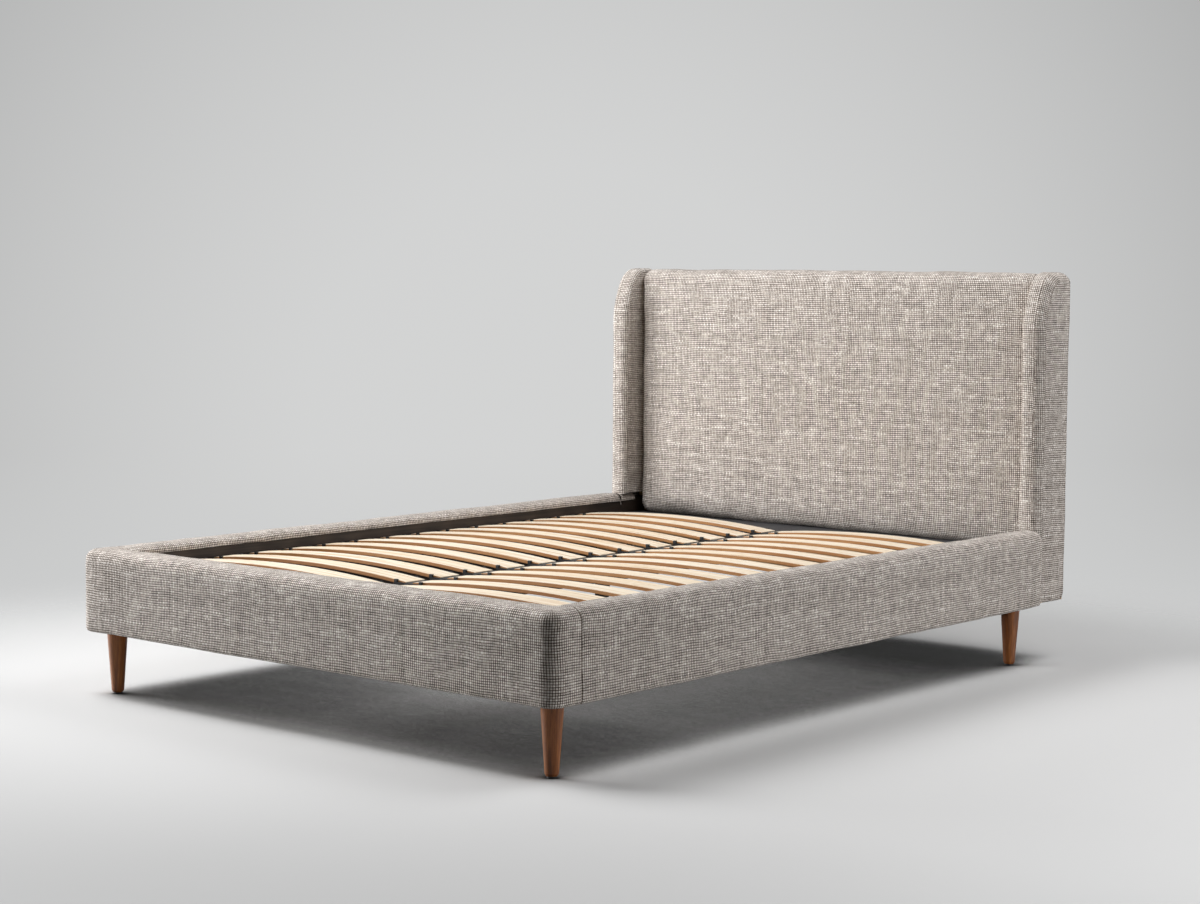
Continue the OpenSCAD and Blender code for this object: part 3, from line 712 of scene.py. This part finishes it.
def rail_inner(count):
    """The line against the board, with as many points as the outer line."""
    below, inside = RAIL_BASE + WRAP_T - BOARD_GAP, SIDE_T - LAP_T + BOARD_GAP
    return resample(np.array([
        (SIDE_PAD + WRAP_W, below),
        (SIDE_PAD - BOARD_GAP, below),
        (SIDE_PAD - BOARD_GAP, board_high.z + BOARD_GAP),
        (inside, board_high.z + BOARD_GAP),
        (inside, LAP_Z),
    ]), count)


def near_board(p):
    """Points of a rail pad that lie on the rail itself: the wrap below and the lap inside."""
    wrap = p[:, 2] < RAIL_BASE + WRAP_T
    beside = np.abs(p[:, 0]) < SIDE_X - SIDE_T + BOARD_HOLD
    behind = p[:, 1] > FOOT_Y + FOOT_T - BOARD_HOLD
    return wrap | (p[:, 2] < LAP_Z + LAP_HOLD) & beside & behind


def end_stations(r):
    return r * np.array([0, 0.03, 0.1, 0.22, 0.4, 0.65, 1.0])


def stations(a, b, r_a, r_b):
    """Places along a pad, closer together at its rounded ends."""
    first = a + end_stations(r_a)
    last = b - end_stations(r_b)[::-1]
    count = steps_between(first[-1], last[0], CELL)
    return np.concatenate([first, np.linspace(first[-1], last[0], count + 1)[1:-1], last])


def side_rail_pad(name, mirror):
    front, rear = rail_low.y, WING_Y - REAR_GAP
    base = rail_outer()
    along = lengths(base)
    form = Form()
    p, uv = [], []
    for y in stations(front, rear, SEAM_R, REAR_TOP_R):
        at_seam = quarter(y - front, SEAM_R)
        side = at_seam + quarter(rear - y, REAR_SIDE_R)
        top = at_seam + quarter(rear - y, REAR_TOP_R)
        low = quarter(y - front, END_LOW_R) + quarter(rear - y, END_LOW_R)
        p.append([(SIDE_X - q[0], y, q[1]) for q in rail_outer(side, top, low)])
        uv.append([(y, s) for s in along])
    form.grid(p, uv, ref=(SIDE_X - SIDE_T / 2, 0, (RAIL_BASE + RAIL_TOP) / 2))
    inner = rail_inner(len(base))
    for y, ring, sign in ((front, p[0], -1), (rear, p[-1], 1)):
        cap = [ring, [(SIDE_X - q[0], y, q[1]) for q in inner]]
        form.grid(cap, [[(y, s) for s in along], [(y + SEAM_CLOTH, s) for s in along]], out=(0, sign, 0))

    # the lip that runs on under the wing
    lip = chain(
        line((TONGUE_OUT, board_high.z + BOARD_GAP), (TONGUE_OUT, RAIL_TOP), 2),
        line((TONGUE_OUT, RAIL_TOP), (SIDE_T - INNER_R, RAIL_TOP), 2),
        arc(SIDE_T - INNER_R, RAIL_TOP - INNER_R, INNER_R, 90, 0, 8),
        line((SIDE_T, RAIL_TOP - INNER_R), (SIDE_T, LAP_Z), 1),
        line((SIDE_T, LAP_Z), (SIDE_T - LAP_T + LAP_HEM, LAP_Z), 1),
    )
    at = lengths(lip)
    lip_ys = np.linspace(rear - LIP_OVERLAP, panel_low.y - SEAM, 8)
    form.grid([[(SIDE_X - q[0], y, q[1]) for q in lip] for y in lip_ys],
              [[(y, LIP_CLOTH - s + at[-1]) for s in at] for y in lip_ys],
              ref=(SIDE_X - SIDE_T + INNER_R, lip_ys.mean(), RAIL_TOP - INNER_R))
    obj = form.build(name, mirror)
    puff(obj, RAIL_SWELL, held=near_board)
    ripple(obj, RAIL_RIPPLE)
    thicken(obj)
    return obj


def foot_plan(depth, xs, ys, turns):
    """The foot pad's plan, set in by depth: right end, corner, front, corner, left end."""
    r = max(CORNER_R - depth, 0.0015)
    cx, cy = SIDE_X - max(CORNER_R, depth + r), FOOT_Y + max(CORNER_R, depth + r)
    right = np.array([(SIDE_X - depth, y) for y in ys])
    right[:, 1] = np.maximum(right[:, 1], cy)
    bend = arc(cx, cy, r, 0, -90, turns)[1:-1]
    front = np.array([(np.clip(x, -cx, cx), FOOT_Y + depth) for x in xs])
    to_left = np.array([-1, 1])
    return np.concatenate([right, bend, front, bend[::-1] * to_left, right[::-1] * to_left])


def inner_height(d):
    """Height of the pad's top at a distance d outside the recess's edge."""
    d = np.clip(d, 0, INNER_R)
    return RAIL_TOP - INNER_R + np.sqrt(np.maximum(INNER_R ** 2 - (INNER_R - d) ** 2, 0))


def foot_rail_pad(name):
    turns = 12
    end = FOOT_Y + FOOT_T
    recess_x = SIDE_X - SIDE_T
    ys = np.concatenate([end - end_stations(SEAM_R), np.linspace(end - SEAM_R, FOOT_Y + CORNER_R, 7)[1:]])
    side_xs = np.linspace(SIDE_X - CORNER_R, recess_x, 5)
    middle_xs = np.linspace(recess_x, -recess_x, steps_between(recess_x, -recess_x, CELL) + 1)
    xs = np.concatenate([side_xs[:-1], middle_xs, -side_xs[::-1][1:]])
    outer = chain(
        line((FOOT_PAD + WRAP_W, RAIL_BASE), (LOW_R, RAIL_BASE), 4),
        arc(LOW_R, RAIL_BASE + LOW_R, LOW_R, 270, 180, 6),
        line((0, RAIL_BASE + LOW_R), (0, RAIL_TOP - TOP_R), 17),
        arc(TOP_R, RAIL_TOP - TOP_R, TOP_R, 180, 90, 11),
    )
    up = lengths(outer)
    run = lengths(foot_plan(0, xs, ys, turns))
    run = run - run[-1] / 2
    at_seam = quarter(end - ys, SEAM_R)
    gap_in = np.concatenate([at_seam, np.zeros(len(run) - 2 * len(ys)), at_seam[::-1]])
    form = Form()
    p, uv = [], []
    for (d, z), s in zip(outer, up):
        plan = foot_plan(d, xs, ys, turns)
        inward = np.sign(plan[:, 0]) * gap_in
        lift = gap_in * np.clip((z - (RAIL_BASE + RAIL_TOP) / 2) / 0.08, -0.6, 1)
        p.append(np.stack([plan[:, 0] - inward, plan[:, 1], z - lift], -1))
        uv.append(np.stack([run, np.full(len(run), s)], -1))
    form.grid(p, uv, ref=(0, FOOT_Y + FOOT_T / 2 + 0.02, (RAIL_BASE + RAIL_TOP) / 2))

    # top of the front bar, the roll into the recess and the lap
    over = chain(
        line((TOP_R, RAIL_TOP), (FOOT_T - INNER_R, RAIL_TOP), 5),
        arc(FOOT_T - INNER_R, RAIL_TOP - INNER_R, INNER_R, 90, 0, 8),
        line((FOOT_T, RAIL_TOP - INNER_R), (FOOT_T - LAP_TUCK, LAP_Z - LAP_DROP), 1),
        line((FOOT_T - LAP_TUCK, LAP_Z - LAP_DROP), (FOOT_T - LAP_T + LAP_HEM, LAP_Z), 2),
    )
    back = lengths(over) + up[-1]
    form.grid([[(x, FOOT_Y + d, z) for x in middle_xs] for d, z in over],
              [[(-x, s) for x in middle_xs] for s in back], ref=(0, FOOT_Y + FOOT_T / 2, RAIL_BASE))

    # top of each corner, where the roll into the recess turns: down the side from the seam to the corner's
    # middle, from there along the front, and along the recess
    edge = foot_plan(TOP_R, xs, ys, turns)[:len(ys) + turns - 1 + len(side_xs)]
    middle = len(ys) + turns // 2
    down, ahead = edge[:middle], edge[middle - 1:]
    far = np.linspace(down[0], (recess_x, end), len(ahead))
    inside = np.stack([np.full(len(down), recess_x), down[:, 1]], -1)
    inside[-1, 1] = FOOT_Y + TOP_R
    flat = patch(far, ahead, down, inside)
    dx, dy = flat[..., 0] - recess_x, end - flat[..., 1]
    z = inner_height(np.maximum(dx, dy)) - quarter(dy, SEAM_R) * np.clip(dx / 0.01, 0, 1)
    corner = np.stack([flat[..., 0], flat[..., 1], z], -1)
    over_crest = up[-1] + flat[..., 1] - FOOT_Y - TOP_R
    for sign in (1, -1):
        form.grid(corner * np.array([sign, 1, 1]),
                  np.stack([-sign * flat[..., 0], over_crest], -1), out=(0, 0, 1))

    # the ends that meet the side rails
    inner = rail_inner(len(outer) + len(ahead) - 1)
    for sign, column in ((1, 0), (-1, -1)):
        skin = np.array([row[column] for row in p])
        ring = np.concatenate([skin, (corner[0] * np.array([sign, 1, 1]))[1:]])
        wall = np.array([(sign * (SIDE_X - q[0]), end, q[1]) for q in inner])
        wall[-1, 2] = RAIL_TOP - INNER_R
        s = lengths(ring)
        form.grid([ring, wall], [[(0, a) for a in s], [(SEAM_CLOTH, a) for a in s]], out=(0, 1, 0))
    obj = form.build(name)
    puff(obj, RAIL_SWELL, held=near_board)
    ripple(obj, RAIL_RIPPLE)
    thicken(obj)
    return obj


# Wings

def wing_outline(d, low):
    """A wing's side view: up the front, over the shoulder, down the rear and back along the bottom.

    It is set in by d at the front and the top, and by less at the rear and the bottom.
    """
    front, rear, top, r = WING_Y, HEAD_Y, wing_high.z, WING_REAR_R
    less = REAR_SHARE * d
    z_front = np.linspace(low, SHOULDER_Z, steps_between(low, SHOULDER_Z, CELL) + 1)
    z_front[0] = low + less
    z_rear = np.linspace(top - r, low + r, steps_between(top - r, low + r, CELL) + 1)
    a = np.radians(np.linspace(90, 0, 7))
    rear_top = np.stack([rear - r + (r - less) * np.cos(a), top - r + (r - d) * np.sin(a)], -1)
    return chain(
        np.stack([np.full(len(z_front), front + d), z_front], -1),
        arc(front + SHOULDER_BIG_R, SHOULDER_Z, SHOULDER_BIG_R - d, 180, 180 - SHOULDER_TURN, 13),
        arc(front + SHOULDER_D, top - SHOULDER_R, SHOULDER_R - d, 180 - SHOULDER_TURN, 90, 9),
        line((front + SHOULDER_D, top - d), (rear - r, top - d), 4),
        rear_top,
        np.stack([np.full(len(z_rear), rear - less), z_rear], -1),
        arc(rear - r, low + r, r - less, 0, -90, 6),
        line((rear - r, low + less), (front + d, low + less), 9),
    )


def wing_part(form, rings, low):
    """One closed form through rings of (inset, distance in from the rail's face)."""
    around = lengths(wing_outline(0, low))
    p, uv = [], []
    for (d, u), across in zip(rings, lengths(np.array(rings))):
        p.append([(SIDE_X - u, q[0], q[1]) for q in wing_outline(d, low)])
        uv.append([(across + WING_CLOTH, s) for s in around])
    middle_y = (WING_Y + HEAD_Y) / 2
    form.grid(p, uv, ref=(SIDE_X - (rings[0][1] + rings[-1][1]) / 2, middle_y, (low + wing_high.z) / 2))
    for ring, (_, u), sign in ((p[0], rings[0], 1), (p[-1], rings[-1], -1)):
        fill = np.array(ring)[:-1, 1:]
        # pair the way up the front with the way up the rear
        below_top = np.abs(fill[:, 1] - fill[:, 1].max())
        top = int(np.argmin(np.abs(fill[:, 0] - middle_y) + 10 * below_top))
        front = fill[:top + 1]
        back = np.concatenate([fill[top:], fill[:1]])[::-1]
        n = max(len(front), len(back))
        t = np.linspace(0, 1, 9)[None, :, None]
        flat = resample(front, n)[:, None, :] * (1 - t) + resample(back, n)[:, None, :] * t
        form.grid(np.stack([np.full(flat.shape[:2], SIDE_X - u), flat[..., 0], flat[..., 1]], -1),
                  flat, out=(sign, 0, 0))


def edge_rings(u0, u1, r, rounded_first=True, rounded_last=True):
    """Rings of (inset, distance in) from one side face to the other, grooved at a rounded first edge."""
    bend = [math.radians(a) for a in np.linspace(0, 90, 7)[1:]]
    if rounded_first:
        rings = [(r + inset, u0 + depth) for inset, depth in WING_GROOVE]
        rings += [(r * (1 - math.sin(a)), u0 + r * (1 - math.cos(a))) for a in bend]
    else:
        rings = [(0, u0)]
    start = rings[-1][1]
    stop = u1 - r if rounded_last else u1
    rings += [(0, u) for u in np.linspace(start, stop, steps_between(start, stop, WING_RING) + 1)[1:]]
    if rounded_last:
        rings += [(r * (1 - math.cos(a)), stop + r * math.sin(a)) for a in bend]
    return rings


def wing_pad(name, mirror):
    form = Form()
    wing_part(form, edge_rings(WING_OUT, WING_LOW_IN, WING_OUTER_R, rounded_last=False), RAIL_BASE)
    wing_part(form, edge_rings(WING_LOW_IN, WING_IN, WING_INNER_R, rounded_first=False), RAIL_TOP + SEAM)
    obj = form.build(name, mirror)
    # the outer side face falls away towards the front seam
    p = read_points(obj.data)
    from_seam = np.clip((p[:, 1] - WING_Y - WING_OUTER_R) / WING_CROWN_RUN, 0, 1)
    outer = ease((np.abs(p[:, 0]) - (SIDE_X - WING_OUT - WING_FACE_D)) / WING_FACE_RUN)
    p[:, 0] -= np.sign(p[:, 0]) * WING_CROWN * (1 - from_seam) ** 2 * outer
    write_points(obj.data, p)
    puff(obj, WING_SWELL)
    ripple(obj, WING_RIPPLE)
    return obj


# Panel

def panel_ring(d, nx, nz):
    """The panel's bottom, right, top and left edge, set in by d, with nx or nz steps each."""
    r = max(PANEL_CORNER_R - d, 0.002)
    x, low, top = panel_high.x - d - r, panel_low.z + d + r, panel_high.z - d - r
    k = 5

    def edge(a, b, turn, steps):
        """Half the bend round a, a straight run, and half the bend round b."""
        first = arc(*a, r, turn, turn + 45, k)
        last = arc(*b, r, turn + 45, turn + 90, k)
        return chain(first, line(first[-1], last[0], steps - 2 * k), last)

    return (edge((-x, low), (x, low), 225, nx), edge((x, low), (x, top), 315, nz),
            edge((x, top), (-x, top), 45, nx), edge((-x, top), (-x, low), 135, nz))


def panel_pad(name):
    nx = steps_between(0, 2 * panel_high.x, CELL)
    nz = steps_between(panel_low.z, panel_high.z, CELL)
    front, r = panel_low.y, PANEL_EDGE_R
    bend = [math.radians(a) for a in np.linspace(90, 0, 9)]
    depths = [(r * (1 - math.cos(a)), front + PANEL_CROWN + r * (1 - math.sin(a))) for a in bend]
    depths += [(0, front + PANEL_CROWN + r + PANEL_SIDE), (0, head_board_low.y - BOARD_CLEAR)]
    inset = depths[0][0]
    flat_low = (inset - panel_high.x, panel_low.z + inset)
    flat_high = (panel_high.x - inset, panel_high.z - inset)

    # the rounded edge and the sides, whose cloth runs on outwards from the front's
    form = Form()
    rings, uvs = [], []
    for (d, y), outward in zip(depths, lengths(np.array(depths))):
        ring = np.concatenate([part[:-1] for part in panel_ring(d, nx, nz)])
        ring = np.concatenate([ring, ring[:1]])
        inside = np.clip(ring, flat_low, flat_high)
        away = ring - inside
        size = np.linalg.norm(away, axis=1)[:, None]
        rings.append(upright(ring, y))
        uvs.append(np.where(size > 1e-9, inside + away / np.maximum(size, 1e-9) * outward, inside))
    form.grid(rings, uvs, ref=(0, front + 0.05, (panel_low.z + panel_high.z) / 2))

    # the crowned front
    bottom, right, upper, left = panel_ring(inset, nx, nz)
    flat = patch(bottom, upper[::-1], left[::-1], right)
    from_side = np.minimum(flat[..., 0] + panel_high.x, panel_high.x - flat[..., 0])
    from_edge = np.minimum(from_side, np.minimum(flat[..., 1] - panel_low.z, panel_high.z - flat[..., 1]))
    rise = np.clip((from_edge - inset) / PANEL_CROWN_RUN, 0, 1)
    form.grid(upright(flat, front + PANEL_CROWN * (1 - rise) ** 2.2), flat, out=(0, -1, 0))

    # the cap over the board's top edge
    upper = panel_ring(0, nx, nz)[2]
    lid = head_board_high.z + BOARD_LID
    upper = np.concatenate([[(panel_high.x, lid)], upper[upper[:, 1] > lid], [(-panel_high.x, lid)]])
    cap = chain(
        line((0, head_board_low.y - BOARD_CLEAR), (0, HEAD_Y - CAP_R), 3),
        arc(CAP_R, HEAD_Y - CAP_R, CAP_R, 180, 90, 5),
    )
    rows, uv_rows = [], []
    for (d, y), back in zip(cap, lengths(cap)):
        z = np.maximum(upper[:, 1] - d, head_board_high.z + BOARD_CLEAR)
        rows.append(upright(np.stack([upper[:, 0], z], -1), y))
        uv_rows.append(np.stack([upper[:, 0], upper[:, 1] + CAP_CLOTH + back], -1))
    form.grid(rows, uv_rows, out=(0, 0.2, 1))
    obj = form.build(name)
    puff(obj, PANEL_SWELL)
    ripple(obj, PANEL_RIPPLE)
    thicken(obj)
    return obj


def back_panel(name):
    """Plain cover stretched over the headboard's battens, and folded in below."""
    form = Form()
    half, low, top = back_high.x, back_low.z, back_high.z
    y0, y1 = back_low.y + BOARD_CLEAR, HEAD_Y + BACK_PROUD
    nx, nz = steps_between(-half, half, BACK_CELL), steps_between(low, top, BACK_CELL)
    x = np.linspace(-half, half, nx + 1)
    z = np.linspace(low, top, nz + 1)
    gx, gz = np.meshgrid(x, z)
    from_edge = np.minimum(np.minimum(gx + half, half - gx), np.minimum(gz - low, top - gz))
    face_y = y1 - quarter(from_edge, BACK_R)
    form.grid(np.stack([gx, face_y, gz], -1), np.stack([-gx, gz], -1), out=(0, 1, 0))
    rim_x = np.concatenate([x, np.full(nz, half), x[::-1][1:], np.full(nz, -half)])
    rim_z = np.concatenate([np.full(nx + 1, low), z[1:], np.full(nx, top), z[::-1][1:]])
    rim = np.stack([rim_x, rim_z], -1)
    form.grid([upright(rim, y1 - BACK_R), upright(rim, y0)], [rim, rim + (0, 0.004)],
              ref=(0, (y0 + y1) / 2, (low + top) / 2))
    under = RAIL_BASE + FOLD_LIFT
    fold = chain(
        line((y1 - BACK_R, low), (y1 - BACK_R, under + FOLD_R), 2),
        line((y1 - BACK_R - FOLD_R, under), (y1 - FOLD_W, under), 4),
    )
    form.grid([[(at_x, *q) for at_x in x] for q in fold],
              [[(-at_x, low - s) for at_x in x] for s in lengths(fold)], out=(0, 0.3, -1))
    obj = form.build(name)
    thicken(obj, BACK_SHELL)
    return obj


def dress(obj, *replaced, fill=0.9):
    obj.data.materials.append(fabric)
    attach(obj, "frame")
    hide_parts(*replaced)


dress(foot_rail_pad("foot_rail_upholstery"), "foot_rail_cover")
dress(panel_pad("headboard_upholstery"), "headboard_pad")
dress(back_panel("headboard_back_upholstery"), "headboard_back_cover")
for side in ("left", "right"):
    dress(side_rail_pad(f"side_rail_upholstery_{side}", side == "left"), f"side_rail_cover_{side}")
    dress(wing_pad(f"wing_upholstery_{side}", side == "left"), f"wing_cover_{side}")

# Rigid parts keep their own meshes
slots = {}
for name in nodes:
    if name.startswith("slat_"):
        slots[name] = "slat_wood"
    elif name.startswith(("leg_front", "leg_back")):
        slots[name] = "leg_wood"
    elif name.startswith(("side_rail_board", "ledger")):
        slots[name] = "dark_wood"
slots.update({
    "leg_blocks": "frame_wood", "headboard_board": "frame_wood", "foot_rail_frame": "frame_wood",
    "wing_board_left": "frame_wood", "wing_board_right": "frame_wood", "head_cross_board": "grey_board",
    "centre_rail": "black_steel", "support_leg": "black_steel", "levelling_foot": "black_plastic",
    "leg_glides": "black_plastic", "outer_slat_holders": "black_plastic",
    "centre_slat_holders": "black_plastic", "leg_bolts": "zinc_steel", "frame_bolts": "zinc_steel",
    "corner_brackets": "zinc_steel",
})


def ease_edges(obj, width):
    """Takes the sharpness off a rigid part's edges."""
    m = obj.modifiers.new("eased_edges", "BEVEL")
    m.width = width
    m.segments = 2
    m.limit_method = "ANGLE"
    m.angle_limit = EASE_ANGLE


for name, slot in slots.items():
    obj = nodes[name]
    if not obj.material_slots:
        obj.data.materials.append(materials[slot])
    for place in obj.material_slots:
        place.material = materials[slot]
    if slot == "slat_wood":
        ease_edges(obj, SLAT_EASE)
    elif slot in ("dark_wood", "grey_board"):
        ease_edges(obj, BOARD_EASE)


# Floor, backdrop and light
FLOOR_HALF = 9.0
FLOOR_DROP = 0.0005
FLOOR_MIDDLE = (0.3, -0.3)
FLOOR_FADE = (1.35, 3.0)
PAINTED_SHADE_REACH = 0.6
BACKDROP_MIDDLE = (-0.652, 0.758, -0.07)
BACKDROP_PAINTED_LIGHT_GREYS = ((0.945, 173), (0.997, 211))
HORIZON = (-0.08, -0.15)
FILL_LIGHT = 0.012

# name, place, target, size and power in watts of each lamp
LAMPS = (
    ("left_box", (-6.2, -2.8, 0.85), (0, 0.1, 0.5), (2.8, 1.2), 480),
    ("high_box", (-1.5, -1.4, 3.1), (0, 0.1, 0.4), (2.0, 2.0), 123),
    ("back_box", (1.6, 1.2, 3.2), (0, 0, 0.4), (2.0, 2.0), 54),
    ("right_box", (4.4, 1.6, 0.6), (0.6, 0.6, 0.25), (1.6, 0.8), 57),
    ("rear_box", (0.3, 4.6, 1.8), (0, 1.1, 0.6), (2.0, 1.4), 45),
    ("side_box", (2.9, -0.6, 1.0), (2.9, -0.6, 0), (1.2, 2.0), 13),
)


def floor_material():
    """Pale floor with painted shade below the bed that deepens the lamps' own shade, and which fades into
    the backdrop away from it.
    """
    g = Graph("pale_floor")
    x, y, _ = g.separate(g.object_place())
    far = g.hypot(g.math("ADD", x, -FLOOR_MIDDLE[0]), g.math("ADD", y, -FLOOR_MIDDLE[1]))
    fade = g.spread(far, *FLOOR_FADE, smooth=True)
    open_sky = g.node("ShaderNodeAmbientOcclusion", samples=24)
    open_sky.inputs["Distance"].default_value = PAINTED_SHADE_REACH
    # painted shade: the floor's colour is darkened, by ambient occlusion, where the bed stands over it
    under = g.spread(open_sky.outputs["AO"], 0.42, 0.68, 0.05, 1.0, smooth=True)
    # a duller floor for bounced light keeps the corners and undersides dark
    paint = g.mix(g.looked_at(), srgb(140, 140, 140), srgb(212, 212, 212))
    colour = g.mix(1.0, paint, g.combine(under, under, under), "MULTIPLY")
    g.finish(colour, Roughness=0.8, Specular_IOR_Level=0.1)
    clear = g.node("ShaderNodeBsdfTransparent")
    g.mix_shaders(fade, g.shader.outputs[0], clear.outputs[0], g.tree.nodes["Material Output"])
    return g.material


def studio_world():
    """Grey backdrop for the camera and for reflections, painted lightest in its middle as a pool of light,
    and a weak even light.
    """
    world = bpy.data.worlds.new("studio")
    bpy.context.scene.world = world
    world.use_nodes = True
    world.node_tree.nodes.clear()
    g = Nodes(world.node_tree)
    direction = g.node("ShaderNodeTexCoord").outputs["Generated"]
    toward = g.node("ShaderNodeVectorMath", operation="DOT_PRODUCT")
    g.put(toward.inputs[0], direction)
    g.put(toward.inputs[1], BACKDROP_MIDDLE)
    # painted light: the backdrop's grey is lightest towards BACKDROP_MIDDLE and darker away from it
    shade = g.ramp(toward.outputs["Value"], [(at, srgb(v, v + 0.6, v + 0.4)) for at, v in BACKDROP_PAINTED_LIGHT_GREYS])
    below = g.spread(g.separate(direction)["Z"], *HORIZON)
    seen = g.node("ShaderNodeBackground")
    g.put(seen.inputs["Color"], g.mix(below, shade, srgb(205, 206, 206)))
    lighting = g.node("ShaderNodeBackground")
    lighting.inputs["Color"].default_value = (1.0, 1.0, 1.0, 1.0)
    lighting.inputs["Strength"].default_value = FILL_LIGHT
    g.mix_shaders(g.looked_at(), lighting.outputs[0], seen.outputs[0], g.node("ShaderNodeOutputWorld"))


def softbox(name, place, target, size, power):
    data = bpy.data.lights.new(name, "AREA")
    data.shape = "RECTANGLE"
    data.size, data.size_y = size
    data.energy = power
    obj = bpy.data.objects.new(name, data)
    bpy.context.scene.collection.objects.link(obj)
    obj.location = place
    obj.rotation_euler = (Vector(target) - Vector(place)).to_track_quat("-Z", "Y").to_euler()


floor_mesh = bpy.data.meshes.new("floor")
floor_corners = [(x * FLOOR_HALF, y * FLOOR_HALF, 0) for x, y in ((-1, -1), (1, -1), (1, 1), (-1, 1))]
floor_mesh.from_pydata(floor_corners, [], [(0, 1, 2, 3)])
floor = bpy.data.objects.new("floor", floor_mesh)
floor.location.z = -FLOOR_DROP
floor_mesh.materials.append(floor_material())
bpy.context.scene.collection.objects.link(floor)
studio_world()
for lamp in LAMPS:
    softbox(*lamp)

# Camera, fitted to the photograph
FOCAL_PX = 2338.3
IMAGE_W = 1200
SENSOR_W = 36
YAW, PITCH, ROLL = math.radians(39.97), math.radians(4.589), math.radians(0.467)
EYE = (3.9315, -4.7034, 1.0837)
forward = Vector((-math.sin(YAW) * math.cos(PITCH), math.cos(YAW) * math.cos(PITCH), -math.sin(PITCH)))
right = Vector((math.cos(YAW), math.sin(YAW), 0))
up = right.cross(forward)
right_r = math.cos(ROLL) * right + math.sin(ROLL) * up
up_r = -math.sin(ROLL) * right + math.cos(ROLL) * up
camera_data = bpy.data.cameras.new("camera")
camera_data.sensor_width = SENSOR_W
camera_data.lens = FOCAL_PX * SENSOR_W / IMAGE_W
camera_data.clip_start, camera_data.clip_end = 0.05, 60
camera = bpy.data.objects.new("camera", camera_data)
bpy.context.scene.collection.objects.link(camera)
camera.matrix_world = Matrix((
    (right_r.x, up_r.x, -forward.x, EYE[0]),
    (right_r.y, up_r.y, -forward.y, EYE[1]),
    (right_r.z, up_r.z, -forward.z, EYE[2]),
    (0, 0, 0, 1),
))
bpy.context.scene.camera = camera
bpy.context.scene.view_settings.view_transform = "Standard"
